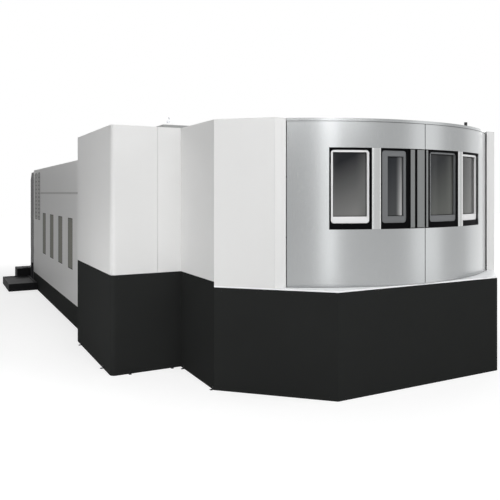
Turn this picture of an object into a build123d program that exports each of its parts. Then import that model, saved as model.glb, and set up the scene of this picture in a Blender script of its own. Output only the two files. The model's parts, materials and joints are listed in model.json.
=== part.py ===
from build123d import *
from math import atan2, cos, degrees, dist, radians, sin, tan
import os

# Large horizontal machining center with two pallets.
# A white sheet-metal enclosure on black skirts. Two curved doors slide round the set-up station at the front.
# Behind it a change arm swings the pallets, and a travelling column machines the work on a rotary table.
# Millimetres. X to the right, Y from the front skirt backwards, Z up from the floor, while the model is made.
# The finished pieces are moved so that the origin is under the middle of the whole machine.

# Sheet metal and running clearances
sheet = 3.0  # skin of every cover
fold = 40.0  # depth of a cover's folded edges
panel_gap = 4.0  # seam between two covers of one wall
slide_gap = 0.3  # between a moving piece and what carries it
shaft_gap = 0.05  # radial, round a turning shaft
over = 1.0  # how far a cutting shape runs past the face that it cuts

# Plan of the enclosure
front_half = 1580.0  # half of the flat front skirt
side_half = 2900.0  # half of the width behind the corners
corner_depth = 1240.0  # where the slanting corners meet the sides
wing_front = 2582.0  # front face of the box on the left
wing_left = 4068.0
front_depth = 5172.0  # back of the tall front enclosure
rear_left = 3848.0
rear_depth = 12707.0  # back wall
lip_y = 615.0  # lip of the slanting covers, which faces the front
lip_x = 2051.0
wing_side_seam = 1175.0  # from the box's back corner to the seam in its side
wing_front_seam = 766.0  # from the box's front corner to the seam in its front
wing_round = 80.0  # outer corners of the box

# Heights
skirt_height = 1504.0
wing_skirt_height = 1584.0
front_height = 3960.0
rear_height = 3580.0
kick_height = 465.0
seam_height = 2873.0  # where the lower and upper panels of the left wall meet

# Ribs under the front roof
roof_rib = 60.0
roof_bays = 4

# Curved doors: both leaves turn about one upright axis over the set-up station
arc_y = 3526.0
door_radius = 3545.0
door_depth = 130.0
door_skin = 4.0
door_span = 35.0  # degrees from the centre seam to a leaf's tail
door_travel = 17.0
seam_half = 0.1
door_floor_gap = 6.0
header_drop = 43.0  # the header's face above the doors
header_proud = 5.0
header_span = 35.0
track_radius = 3450.0
track_width = 20.0
track_depth = 20.0
header_inner = 3360.0
sill_thick = 20.0
sill_inner = 3300.0
sill_back = 1600.0

# Back of a door leaf: bays between ribs, in degrees from the seam
leaf_bays = 3
leaf_stile = 0.8
leaf_tail = 0.6
rib_angle = 0.6
leaf_rib = 40.0
glide_angles = [8.0, 30.0]
glide_half = 1.0

# Windows of the curved doors
strip_drop = 423.0  # from the top of the front covers to the top of the windows
strip_height = 1181.0
strip_high = front_height - strip_drop
strip_low = strip_high - strip_height
pillar_start = 12.6
pillar_end = 14.9
window_end = 25.2
frame_side = 30.0
frame_top = 33.0
frame_bottom = 88.0
frame_recess = 20.0
frame_back = 10.0
trim_side = 30.0
trim_top = 32.0
trim_bottom = 96.0
trim_recess = 30.0
trim_depth = 35.0
trim_round = 45.0  # corners of the light frames, and of the black frames round them
pane_thick = 10.0
pane_inset = 14.0
stile_thick = 18.0

# The leaves differ beside the seam, where the left one carries the grips; angles in degrees from the seam
left_grip_edge = 4.5
left_bars = [(0.15, 2.4), (3.15, 4.4)]
left_frame_seam = 60.0
left_trim_seam = 42.0
left_trim_pillar = 95.0
left_trim_top = 84.0
right_grip_edge = 1.5
right_bars = [(0.42, 1.03)]
right_frame_seam = 24.0
right_trim_seam = 30.0
right_trim_pillar = 14.0
right_trim_top = 26.0
grip_inset = 12.0  # from the bars' ends to the recess's ends
grip_recess = 3.0

# Side windows and grilles in the left wall
window_first = 6730.0
window_pitch = 1225.0
window_width = 510.0
window_count = 4
window_low = 1190.0
window_high = 2320.0
wall_pane = 8.0
pane_lap = 15.0
grille_first = 11450.0
grille_pitch = 560.0
grille_count = 2
grille_width = 320.0
grille_low = 2100.0
grille_high = 3480.0
grille_depth = 14.0
grille_border = 30.0
slat_pitch = 115.0
slat_width = 40.0
slat_sheet = 4.0
slat_tilt = 12.0

# Raised hood over the column, with louvres in its left side
hood_half = 2006.0
hood_front = 6000.0
hood_back = 9300.0
hood_rise = 838.0  # above the rear roof
hood_height = rear_height + hood_rise
louvre_inset = 150.0
louvre_height = 36.0
louvre_pitch = 92.0
louvre_depth = 30.0

# Electrical cabinet on its legs behind the back wall
cabinet_right = -1448.0
cabinet_low = 700.0
cabinet_high = 3523.0
cabinet_back = 13425.0
cabinet_bevel = 200.0
cabinet_wall = 5.0
leg_side = 120.0
door_thick = 40.0
cabinet_door_margin = 60.0
cabinet_door_gap = 3.0
pull_inset = 50.0
pull_width = 30.0
pull_low = 1900.0
pull_length = 250.0

# Drip tray and coolant tank on the floor
tray_left = 4640.0
tray_front = 11960.0
tray_back = 13780.0
tray_height = 220.0
tray_rim = 60.0
tray_sump = 20.0
tank_left = 4210.0
tank_right = -1400.0
tank_depth = 600.0
tank_height = 450.0
hatch_inset = 80.0
hatch_start = 200.0
hatch_length = 900.0
hatch_thick = 12.0

# Signal lamp on the roof
lamp_x = 2100.0
lamp_y = 1130.0
lamp_rise = 217.0
lamp_radius = 28.0
lamp_foot = 40.0
lamp_waist = 20.0
lamp_waist_low = 45.0
lamp_waist_high = 95.0
lamp_head_low = 120.0

# Bed and guideways
pad_height = 60.0
pad_side = 200.0
pad_inset = 150.0
bed_height = 700.0
bed_half = 900.0
bed_front = 4300.0
cross_front = 7400.0
cross_back = 9600.0
cross_half = 2300.0
trough_half = 420.0
trough_depth = 260.0
trough_end = 200.0
bed_pocket_depth = 180.0
bed_pocket_rib = 120.0
bed_pocket_low = 200.0
bed_pocket_high = 560.0
back_pockets = 4
side_pockets = 3
rail_width = 70.0
rail_height = 50.0
rail_end = 60.0
carriage_lap = 30.0
table_rail_x = 650.0
column_rail_front = 8000.0
column_rail_back = 9000.0
screw_radius = 40.0
screw_height = 90.0
screw_block = 120.0
screw_block_half = 90.0
screw_block_top = 60.0

# Pallets and what they stand on
pallet_side = 1250.0
pallet_thick = 200.0
pallet_corner = 90.0
pallet_top = 1504.0
pallet_groove = 30.0
pallet_groove_low = 70.0
pallet_groove_high = 110.0
bolt_spacing = 1000.0
bolt_radius = 8.75
bolt_depth = 60.0
centre_bore = 25.0
centre_depth = 80.0
neck_radius = 400.0
neck_low = 1100.0
plinth_half = 520.0
plinth_corner = 220.0
plinth_low = 1010.0
change_radius = 1600.0  # from the change arm's axis to each pallet's centre
stand_half = 480.0
table_half_x = 750.0
table_half_y = 690.0
table_slot_edge = 120.0
table_slot_height = 60.0

# Change arm
arm_thick = 60.0
arm_low = 1180.0
arm_hub = 420.0
arm_outer = 2170.0
arm_root = 60.0
slot_half = 450.0
web_start = -27.0
web_end = -16.5
finger_end = 14.0
finger_edge = 2.0
finger_inner = 1020.0
lift_radius = 200.0
lift_length = 420.0
lift_well = 20.0
pedestal_radius = 340.0
pedestal_height = 900.0
base_thick = 80.0
arch_half = 300.0
arch_height = 500.0

# Partition between the set-up station and the work space
track_drop = 230.0  # from the top of the front covers to the top of the track
track_high = front_height - track_drop
track_depth_above = 90.0  # of the track, over the leaves
partition_low = 1320.0
partition_high = track_high - track_depth_above
partition_half = 1350.0
partition_thick = 60.0
partition_gap = 2.0
partition_edge = 60.0
partition_pane_low = 2000.0
partition_pane_top = 440.0  # from the leaf's top edge
partition_pane_high = partition_high - partition_pane_top
partition_pane_side = 200.0
partition_pane = 12.0
track_half = 2855.0
track_lip = 40.0
track_wall = 40.0
hanger_half = 60.0

# Column, spindle head and spindle
column_half = 650.0
column_front = 7800.0
column_back = 9250.0
column_top_back = 8800.0
column_headroom = 268.0  # between the column's top and the hood
column_top = hood_height - column_headroom
column_base = 160.0
column_pocket = 120.0
column_bays = 3
column_bay_low = 400.0
column_bay_top = 300.0
column_bay_front = 200.0
column_bay_back = 150.0
column_bay_rib = 120.0
screw_tunnel_half = 130.0
screw_tunnel_top = 90.0
head_rail_x = 420.0
head_rail_low = 1150.0
head_rail_top = 70.0
head_rail_high = column_top - head_rail_top
head_rest = 2400.0
head_half_x = 520.0
head_half_z = 440.0
head_front = 7360.0
head_bevel = 120.0
head_gap = 8.3  # between the head's back and the column
nose_radius = 260.0
nose_length = 140.0
spindle_radius = 110.0
spindle_out = 70.0
spindle_bore = 35.0
spindle_bore_depth = 110.0
spindle_hole = 300.0
spindle_end_gap = 20.0

# Tool store
rack_inner = 3340.0
rack_front = 6650.0
rack_pitch = 460.0
rack_places = 9
rack_low = 1150.0
rack_rise = 650.0
rack_count = 3
tool_levels = 2  # the shelves that hold tools, from the lowest
shelf_thick = 30.0
rack_over_seam = 30.0
rack_back_x = rear_left - fold  # the posts are bolted to the folded seam of the left wall
post_side = 60.0
tool_inset = 110.0
tool_neck = 42.0
tool_flange = 62.0
tool_shank = 30.0
tool_below = 230.0
neck_below = 45.0
flange_thick = 26.0
taper_foot = 36.0
taper_tip = 22.0
tool_above = 90.0
tool_sides = 12  # few sides, because many tools hang in the rack
notch_gap = 1.0

# Tool mast on its floor rail
mast_outer = 3120.0
mast_inner = 2960.0
mast_rest = 8200.0
mast_width = 200.0
mast_high = 3000.0
mast_frame = 40.0
mast_window_low = 200.0
mast_window_top = 80.0
mast_foot = 120.0
mast_rail_inset = 30.0
mast_rail_back = 11500.0
mast_rail_height = 40.0
lift_rest = 1450.0
lift_block = 260.0
lift_wall = 30.0
finger_length = 70.0
finger_side = 30.0
finger_spread = 60.0

# Tool change arm
changer_x = -1950.0
changer_z = 2400.0
changer_y = 6960.0
changer_reach = 850.0
changer_thick = 80.0
changer_hub = 130.0
changer_half = 70.0
changer_claw = 110.0
changer_root = 40.0
claw_gap = 2.0
changer_shaft = 60.0
changer_shaft_length = 260.0
changer_shaft_gap = 10.0
changer_box = 200.0
changer_stand_off = 60.0
changer_post_front = 7440.0
changer_post_back = 7700.0

# Operator's side: sliding door and its window
entry_offset = 728.0  # behind the front enclosure
entry_width = 1400.0
entry_front = front_depth + entry_offset
entry_back = entry_front + entry_width
entry_low = 1000.0
entry_high = 3000.0
entry_lap = 30.0
entry_travel = 1380.0
entry_stand_off = 8.0
entry_rail_height = 50.0
entry_rail_depth = 60.0
entry_pane_low = 1500.0
entry_pane_high = 2500.0
entry_pane_inset = 300.0
entry_grip_low = 1700.0
entry_grip_length = 600.0
entry_grip_inset = 90.0
entry_grip_width = 30.0
entry_grip_out = 45.0

# Control panel on its swivelling arm
panel_offset = 450.0  # in front of the operator's door
panel_y = entry_front - panel_offset
panel_z = 2000.0
panel_width = 520.0
panel_height = 760.0
panel_depth = 140.0
panel_arm = 320.0
panel_arm_lap = 60.0
panel_arm_half_y = 25.0
panel_arm_half_z = 40.0
screen_border = 50.0
screen_depth = 8.0
desk_depth = 5.0
desk_border = 60.0
pivot_out = 90.0  # from the wall to the pin's axis
pivot_radius = 30.0
pivot_height = 200.0
bracket_half = 60.0
bracket_past = 50.0
bracket_thick = 30.0
sleeve_wall = 22.0
sleeve_top = 10.0
button_radius = 22.0
button_length = 28.0
button_travel = 6.0
button_stem = 40.0
button_well = 60.0
button_from_side = 90.0
button_from_low = 110.0

# Shapes that more than one piece uses


def block(x0, x1, y0, y1, z0, z1):
    """A box between two corners."""
    return Pos((x0 + x1) / 2, (y0 + y1) / 2, (z0 + z1) / 2) * Box(abs(x1 - x0), abs(y1 - y0), abs(z1 - z0))


def rod(radius, x, y, z0, z1):
    """An upright cylinder."""
    return Pos(x, y, (z0 + z1) / 2) * Cylinder(radius, z1 - z0)


def rod_along_y(radius, x, z, y0, y1):
    """A cylinder that lies along Y."""
    return Pos(x, (y0 + y1) / 2, z) * Rot(90, 0, 0) * Cylinder(radius, y1 - y0)


def rod_along_x(radius, y, z, x0, x1):
    """A cylinder that lies along X."""
    return Pos((x0 + x1) / 2, y, z) * Rot(0, 90, 0) * Cylinder(radius, x1 - x0)


def prism(points, z0, z1):
    """A plan outline, extruded between two heights."""
    return Pos(0, 0, z0) * extrude(make_face(Polyline(*points, close=True)), z1 - z0, dir=(0, 0, 1))


def prism_along_x(points, x0, x1):
    """An outline in Y and Z, extruded across the machine."""
    return extrude(Plane.YZ.offset(x0) * make_face(Polyline(*points, close=True)), x1 - x0, dir=(1, 0, 0))


def prism_along_y(points, y0, y1):
    """An outline in X and Z, extruded along the machine."""
    return extrude(Plane.XZ.offset(-y0) * make_face(Polyline(*points, close=True)), y1 - y0, dir=(0, 1, 0))


def faceted_rod(radius, z0, z1):
    """An upright prism on the origin with the few sides of a small part that comes in numbers."""
    return Pos(0, 0, z0) * extrude(RegularPolygon(radius, tool_sides), z1 - z0, dir=(0, 0, 1))


def rectangle(x0, x1, y0, y1):
    """The plan corners of a rectangle."""
    return [(x0, y0), (x1, y0), (x1, y1), (x0, y1)]


def bevelled_square(half, cut):
    """The plan corners of a square with its corners cut off."""
    near, far = half - cut, half
    return [
        (-near, -far), (near, -far), (far, -near), (far, near),
        (near, far), (-near, far), (-far, near), (-far, -near),
    ]


def flip(shape):
    """The mirror image of a piece on the machine's other side."""
    if isinstance(shape, list):
        return [mirror(solid, Plane.YZ) for solid in shape]
    return mirror(shape, Plane.YZ)


# Curved blocks round the doors' axis


def arc_point(radius, angle):
    """A plan point on a circle round the doors' axis; angle 0 is straight ahead, right is positive."""
    return (radius * sin(radians(angle)), arc_y - radius * cos(radians(angle)))


def arc_block(r0, r1, a0, a1, z0, z1):
    """A curved block round the doors' axis, between two radii, two angles and two heights."""
    middle = (a0 + a1) / 2
    outline = [
        ThreePointArc(arc_point(r1, a0), arc_point(r1, middle), arc_point(r1, a1)),
        Line(arc_point(r1, a1), arc_point(r0, a1)),
        ThreePointArc(arc_point(r0, a1), arc_point(r0, middle), arc_point(r0, a0)),
        Line(arc_point(r0, a0), arc_point(r1, a0)),
    ]
    return Pos(0, 0, z0) * extrude(make_face(outline), z1 - z0, dir=(0, 0, 1))


def across(length):
    """The angle that a length takes up on the doors' outer face."""
    return degrees(length / door_radius)


def round_corners(shape, radius):
    """Round the four corners that a curved block shows from the front."""
    edges = shape.edges().filter_by(GeomType.LINE) - shape.edges().filter_by(Axis.Z)
    return fillet(edges, radius)


# Plan corners, walked so that the inside is on the left
corners = {
    "back_left": (-rear_left, rear_depth),
    "wing_root": (-rear_left, front_depth),
    "wing_back": (-wing_left, front_depth),
    "wing_corner": (-wing_left, wing_front),
    "wing_inner": (-side_half, wing_front),
    "left_corner": (-side_half, corner_depth),
    "front_left": (-front_half, 0),
    "front_right": (front_half, 0),
    "right_corner": (side_half, corner_depth),
    "right_step": (side_half, front_depth),
    "back_right": (side_half, rear_depth),
}
walk = list(corners)
rounded_corners = ["wing_back", "wing_corner"]


def heading(a, b):
    """The direction of a wall, in degrees."""
    return degrees(atan2(b[1] - a[1], b[0] - a[0]))


def turn_at(name):
    """How far the wall turns left at a corner."""
    i = walk.index(name)
    before = heading(corners[walk[i - 1]], corners[name])
    after = heading(corners[name], corners[walk[(i + 1) % len(walk)]])
    return (after - before + 180) % 360 - 180


def round_at(name):
    """The radius of a corner."""
    return wing_round if name in rounded_corners else 0.0


def corner_waste(x, side, turn, radius, inset, z0, z1):
    """What rounding takes off the end of a wall at x; side is 1 for its far end and -1 for its near end."""
    centre = x - side * radius * tan(radians(turn / 2))
    square = block(centre, x + side * over, -over, radius, z0 - over, z1 + over)
    return square - rod(radius - inset, centre, radius, z0 - 2 * over, z1 + 2 * over)


def pan(a, b, z0, z1, turn_a=0.0, turn_b=0.0, round_a=0.0, round_b=0.0):
    """A flat cover from a to b with its skin outside and its four edges folded in, mitred at the corners."""
    length = dist(a, b)
    cut_a = tan(radians(turn_a / 2))
    cut_b = tan(radians(turn_b / 2))
    slab = prism([(0, 0), (length, 0), (length - cut_b * fold, fold), (cut_a * fold, fold)], z0, z1)
    past = fold + sheet
    pocket_outline = [
        (sheet + cut_a * sheet, sheet),
        (length - sheet - cut_b * sheet, sheet),
        (length - sheet - cut_b * past, past),
        (sheet + cut_a * past, past),
    ]
    pocket = prism(pocket_outline, z0 + sheet, z1 - sheet)
    for x, side, turn, radius in [(0, -1, turn_a, round_a), (length, 1, turn_b, round_b)]:
        if radius > 0:
            slab -= corner_waste(x, side, turn, radius, 0, z0, z1)
            pocket -= corner_waste(x, side, turn, radius, sheet, z0, z1)
    return Pos(*a) * Rot(0, 0, heading(a, b)) * (slab - pocket)


def wall(name_a, name_b, z0, z1):
    """A cover that fills one whole wall of the plan."""
    a, b = corners[name_a], corners[name_b]
    return pan(a, b, z0, z1, turn_at(name_a), turn_at(name_b), round_at(name_a), round_at(name_b))


def split_wall(name_a, name_b, seam, z0, z1):
    """Two covers that fill one wall, with a seam between them at a distance from its first corner."""
    a, b = corners[name_a], corners[name_b]
    length = dist(a, b)
    before, after = [
        tuple(p + (q - p) * distance / length for p, q in zip(a, b))
        for distance in (seam - panel_gap / 2, seam + panel_gap / 2)
    ]
    first = pan(a, before, z0, z1, turn_at(name_a), 0, round_at(name_a), 0)
    second = pan(after, b, z0, z1, 0, turn_at(name_b), 0, round_at(name_b))
    return [first, second]


def lid(points, z_top):
    """A flat roof cover with its edges folded down."""
    slab = prism(points, z_top - fold, z_top)
    hollow = offset(make_face(Polyline(*points, close=True)), -sheet, kind=Kind.INTERSECTION)
    return slab - Pos(0, 0, z_top - fold - sheet) * extrude(hollow, fold, dir=(0, 0, 1))


# Skirts and covers of the enclosure


def make_skirts():
    """Black folded covers that stand on the floor."""
    front = [
        wall("left_corner", "front_left", 0, skirt_height),
        wall("front_left", "front_right", 0, skirt_height),
        wall("front_right", "right_corner", 0, skirt_height),
    ]
    sides = [
        wall("wing_root", "wing_back", 0, wing_skirt_height),
        wall("wing_back", "wing_corner", 0, wing_skirt_height),
        wall("wing_corner", "wing_inner", 0, wing_skirt_height),
        wall("wing_inner", "left_corner", 0, wing_skirt_height),
        wall("right_corner", "right_step", 0, skirt_height),
        wall("back_left", "wing_root", 0, kick_height),
        wall("back_right", "back_left", 0, kick_height),
        wall("right_step", "back_right", 0, kick_height),
    ]
    return {"skirt_front": front, "skirt_sides": sides}


def corner_cover():
    """The slanting cover on the right of the doors, and its lip that folds round to face the front."""
    slope = (side_half - front_half) / corner_depth
    edge = (front_half + slope * lip_y, lip_y)
    low = skirt_height + sill_thick
    cover = pan(edge, corners["right_corner"], low, front_height, 0, turn_at("right_corner"))
    lip = block(lip_x, edge[0] + sheet, lip_y, lip_y + sheet, low, front_height)
    return cover + lip


def make_covers():
    """White folded covers above the skirts."""
    low, high = wing_skirt_height, front_height
    left = [wall("wing_root", "wing_back", low, high)]
    left += split_wall("wing_back", "wing_corner", wing_side_seam, low, high)
    left += split_wall("wing_corner", "wing_inner", wing_front_seam, low, high)
    left.append(wall("wing_inner", "left_corner", low, high))
    return {
        "cover_corner_left": flip(corner_cover()),
        "cover_corner_right": corner_cover(),
        "covers_left": left,
        "cover_right": wall("right_corner", "right_step", skirt_height, front_height),
    }


def roof_rib_centres():
    """Where the ribs under the front roof run."""
    inner = side_half - fold
    pitch = (2 * inner - roof_rib) / roof_bays
    return [-inner + roof_rib / 2 + i * pitch for i in range(roof_bays + 1)]


def make_roofs():
    """Roof covers of the tall front, the wing and the rear."""
    inner = side_half - fold
    low, top = front_height - fold, front_height
    disc = rod(header_inner, 0, arc_y, low, top)
    front = block(-inner, inner, 0, front_depth, low, top) & disc
    front += block(-inner, inner, sill_back, front_depth, low, top)
    centres = roof_rib_centres()
    for a, b in zip(centres, centres[1:]):
        x0, x1 = a + roof_rib / 2, b - roof_rib / 2
        front -= block(x0, x1, sill_back + roof_rib, front_depth - roof_rib, low, top - sheet)
    wing_outline = [
        (-wing_left + fold, wing_front + fold),
        (-inner, wing_front + fold),
        (-inner, front_depth),
        (-rear_left, front_depth),
        (-rear_left + fold, front_depth - fold),
        (-wing_left + fold, front_depth - fold),
    ]
    left = -rear_left + fold
    hatch_x, hatch_front, hatch_back = hood_half - fold, hood_front + fold, hood_back - fold
    rear = [
        lid(rectangle(left, inner, front_depth, hatch_front), rear_height),
        lid(rectangle(left, -hatch_x, hatch_front, hatch_back), rear_height),
        lid(rectangle(hatch_x, inner, hatch_front, hatch_back), rear_height),
        lid(rectangle(left, inner, hatch_back, rear_depth - fold), rear_height),
        block(-rear_left, inner, front_depth, front_depth + sheet, rear_height, front_height),
    ]
    return {"roof_front": [front, lid(wing_outline, top)], "roof_rear": rear}


def make_hood():
    """The raised hood that gives the column its height, with louvres in its left side."""
    low, high = rear_height, hood_height - fold
    plan = rectangle(-hood_half, hood_half, hood_front, hood_back)
    walls = [pan(plan[i - 1], plan[i], low, high, 90, 90) for i in range(4)]
    y0, y1 = hood_front + louvre_inset, hood_back - louvre_inset
    skin = -hood_half + sheet / 2
    inside = skin + louvre_depth
    rows = int((high - low - 1.5 * louvre_inset - louvre_height) / louvre_pitch) + 1
    for row in range(rows):
        z0 = low + louvre_inset + row * louvre_pitch
        z1 = z0 + louvre_height
        walls[0] -= block(-hood_half - over, -hood_half + sheet + over, y0, y1, z0, z1)
        blade = [(skin, z0 - 2 * sheet), (inside, z1), (inside, z1 + sheet), (skin, z0)]
        walls[0] += prism_along_y(blade, y0, y1)
    top = lid(rectangle(-hood_half, hood_half, hood_front, hood_back), hood_height)
    return {"column_hood": walls + [top]}


# Header, sill and the curved doors


def make_door_tracks():
    """The curved header with its guide groove, and the sill plate that the doors glide on."""
    inner = side_half - fold
    low, high = front_height - header_drop, front_height
    slope = (side_half - front_half) / corner_depth
    back_y = lip_y + sheet
    run = (1 + slope**2) ** 0.5
    corner_x = front_half + slope * back_y - fold * run
    side_y = corner_depth + (fold * run - fold) / slope
    right_outline = [(0, back_y), (corner_x, back_y), (inner, side_y), (inner, sill_back), (0, sill_back)]
    right_half = prism(right_outline, low, high)
    header = right_half + flip(right_half) - rod(header_inner, 0, arc_y, low - over, high + over)
    header += arc_block(header_inner, door_radius + header_proud, -header_span, header_span, low, high)
    track_end = door_span + door_travel + glide_half
    r0, r1 = track_radius - track_width / 2, track_radius + track_width / 2
    header -= arc_block(r0, r1, -track_end, track_end, low - over, low + track_depth)
    sill_low, sill_high = skirt_height, skirt_height + sill_thick
    outline = [
        corners["left_corner"],
        corners["front_left"],
        corners["front_right"],
        corners["right_corner"],
        (inner, corner_depth),
        (inner, sill_back),
        (-inner, sill_back),
        (-inner, corner_depth),
    ]
    sill = prism(outline, sill_low, sill_high) - rod(sill_inner, 0, arc_y, sill_low - over, sill_high + over)
    return {"door_header": header, "door_sill": sill}


def leaf_shell(low, high):
    """The silver shell of a leaf, hollow from behind, with its two window openings and its glides."""
    r_out, r_in = door_radius, door_radius - door_depth
    skin = r_out - door_skin
    shell = arc_block(r_in, r_out, seam_half, door_span, low, high)
    pitch = (door_span - leaf_tail - leaf_stile + rib_angle) / leaf_bays
    for i in range(leaf_bays):
        a0 = leaf_stile + i * pitch
        a1 = a0 + pitch - rib_angle
        shell -= arc_block(r_in - over, skin, a0, a1, low + leaf_rib, strip_low - leaf_rib)
        shell -= arc_block(r_in - over, skin, a0, a1, strip_high + leaf_rib, high - leaf_rib)
    tail_start = window_end + across(leaf_rib)
    shell -= arc_block(r_in - over, skin, tail_start, door_span - leaf_tail, strip_low, strip_high)
    shell -= arc_block(r_in - over, r_out + over, 0, pillar_start, strip_low, strip_high)
    shell -= arc_block(r_in - over, r_out + over, pillar_end, window_end, strip_low, strip_high)
    half_track = track_width / 2 - slide_gap
    r0, r1 = track_radius - half_track, track_radius + half_track
    upper_end = high + door_floor_gap + track_depth / 2
    lower_end = skirt_height + sill_thick + slide_gap
    for angle in glide_angles:
        a0, a1 = angle - glide_half, angle + glide_half
        shell += arc_block(r0, r1, a0, a1, high - leaf_rib, upper_end)
        shell += arc_block(r0, r1, a0, a1, lower_end, low + leaf_rib)
    return shell


def window(a0, a1, frame_seam, trim_seam, trim_pillar, trim_top_width):
    """The black frame, light frame and pane of one window; seam and pillar name the uprights of a frame."""
    r_out = door_radius
    trim_back = r_out - trim_recess - trim_depth
    trim_front = r_out - trim_recess
    b0, b1 = a0 + across(frame_seam), a1 - across(frame_side)
    z0, z1 = strip_low + frame_bottom, strip_high - frame_top
    frame = arc_block(r_out - door_depth + frame_back, r_out - frame_recess, a0, a1, strip_low, strip_high)
    frame -= round_corners(arc_block(r_out - door_depth, r_out, b0, b1, z0, z1), trim_round)
    trim = round_corners(arc_block(trim_back, trim_front, b0, b1, z0, z1), trim_round)
    c0, c1 = b0 + across(trim_seam), b1 - across(trim_pillar)
    trim -= arc_block(trim_back - over, trim_front + over, c0, c1, z0 + trim_bottom, z1 - trim_top_width)
    d0, d1 = b0 + across(pane_inset), b1 - across(pane_inset)
    pane = arc_block(trim_back - pane_thick, trim_back, d0, d1, z0 + pane_inset, z1 - pane_inset)
    return frame, trim, pane


def door_leaf(grip_edge, bars, frame_seam, trim_seam, trim_pillar, trim_top_width):
    """A right-hand leaf: shell, window frames, panes, and the bars in the grip recess beside the seam."""
    low = skirt_height + sill_thick + door_floor_gap
    high = front_height - header_drop - door_floor_gap
    windows = [
        window(grip_edge, pillar_start, frame_seam, trim_seam, trim_pillar, trim_top_width),
        window(pillar_end, window_end, frame_side, trim_side, trim_side, trim_top),
    ]
    frames, trims, panes = [list(group) for group in zip(*windows)]
    r_back = door_radius - door_depth
    r_front = r_back + stile_thick
    frames.append(arc_block(r_back, r_front, seam_half, grip_edge, strip_low, strip_high))
    z0, z1 = strip_low + grip_inset, strip_high - grip_inset
    grips = [arc_block(r_front, door_radius - grip_recess, a0, a1, z0, z1) for a0, a1 in bars]
    return {"": leaf_shell(low, high), "_frames": frames, "_trims": trims, "_panes": panes, "_grip": grips}


def make_doors():
    """Both leaves; the left one is made as a right-hand leaf and mirrored."""
    left = door_leaf(
        left_grip_edge, left_bars, left_frame_seam, left_trim_seam, left_trim_pillar, left_trim_top
    )
    right = door_leaf(
        right_grip_edge, right_bars, right_frame_seam, right_trim_seam, right_trim_pillar, right_trim_top
    )
    pieces = {"door_left" + ending: flip(shape) for ending, shape in left.items()}
    pieces.update({"door_right" + ending: shape for ending, shape in right.items()})
    return pieces


# Walls of the rear body


def side_grille(y0):
    """An upright framed grille with tilted slats on the left wall."""
    outside = -rear_left
    y1 = y0 + grille_width
    inner = (y0 + grille_border, y1 - grille_border)
    low, high = grille_low + grille_border, grille_high - grille_border
    grille = block(outside - grille_depth, outside, y0, y1, grille_low, grille_high)
    grille -= block(outside - grille_depth - over, outside + over, *inner, low, high)
    slat = block(-slat_sheet / 2, slat_sheet / 2, *inner, -slat_width / 2, slat_width / 2)
    for i in range(int((high - low) / slat_pitch)):
        z = low + (i + 0.5) * slat_pitch
        grille += Pos(outside - grille_depth / 2, 0, z) * Rot(0, slat_tilt, 0) * slat
    return grille


def make_left_wall():
    """The rear left wall: two rows of covers, four smoked windows and two grilles."""
    a, b = corners["back_left"], corners["wing_root"]
    lower = pan(a, b, kick_height, seam_height, 90, turn_at("wing_root"))
    upper = pan(a, b, seam_height, rear_height, 90, turn_at("wing_root"))
    outside, inside = -rear_left, -rear_left + sheet
    panes = []
    for i in range(window_count):
        y0 = window_first + i * window_pitch
        y1 = y0 + window_width
        lower -= block(outside - over, inside + over, y0, y1, window_low, window_high)
        lap_y = (y0 - pane_lap, y1 + pane_lap)
        panes.append(block(inside, inside + wall_pane, *lap_y, window_low - pane_lap, window_high + pane_lap))
    grilles = [side_grille(grille_first + i * grille_pitch) for i in range(grille_count)]
    return {"wall_left": [lower, upper], "side_windows": panes, "side_grilles": grilles}


def make_other_walls():
    """Back wall, and right wall round the operator's door."""
    opening = [(side_half, entry_front), (side_half, entry_back)]
    right = [
        pan(corners["right_step"], opening[0], kick_height, rear_height),
        pan(*opening, kick_height, entry_low),
        pan(*opening, entry_high, rear_height),
        pan(opening[1], corners["back_right"], kick_height, rear_height, 0, 90),
        panel_bracket(),
    ]
    return {"wall_back": wall("back_right", "back_left", kick_height, rear_height), "wall_right": right}


def make_entry():
    """The operator's sliding door with its pane, and the rails that carry it."""
    x0 = side_half + entry_stand_off
    x1 = x0 + fold
    y0, y1 = entry_front - entry_lap, entry_back + entry_lap
    z0, z1 = entry_low - entry_lap, entry_high + entry_lap
    pane_y = (y0 + entry_pane_inset, y1 - entry_pane_inset)
    leaf = block(x0, x1, y0, y1, z0, z1)
    leaf -= block(x0 - over, x1 - sheet, y0 + sheet, y1 - sheet, z0 + sheet, z1 - sheet)
    leaf -= block(x0 - over, x1 + over, *pane_y, entry_pane_low, entry_pane_high)
    grip_y = y0 + entry_grip_inset
    grip_z = (entry_grip_low, entry_grip_low + entry_grip_length)
    leaf += block(x1, x1 + entry_grip_out, grip_y, grip_y + entry_grip_width, *grip_z)
    pane_z = (entry_pane_low - pane_lap, entry_pane_high + pane_lap)
    pane_x = x1 - sheet
    pane = block(pane_x - wall_pane, pane_x, pane_y[0] - pane_lap, pane_y[1] + pane_lap, *pane_z)
    end = y1 + entry_travel + entry_lap
    rails = []
    for base in (z1 + slide_gap, z0 - slide_gap - entry_rail_height):
        rails.append(block(side_half, side_half + entry_rail_depth, y0, end, base, base + entry_rail_height))
    return {"entry_door": leaf, "entry_pane": pane, "entry_rails": rails}


def panel_bracket():
    """The wall bracket and upright pin that the control panel swings on."""
    post_x = side_half + pivot_out
    low = panel_z - pivot_height / 2
    y0, y1 = panel_y - bracket_half, panel_y + bracket_half
    bracket = block(side_half, post_x + bracket_past, y0, y1, low - bracket_thick, low)
    return bracket + rod(pivot_radius, post_x, panel_y, low, low + pivot_height)


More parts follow.
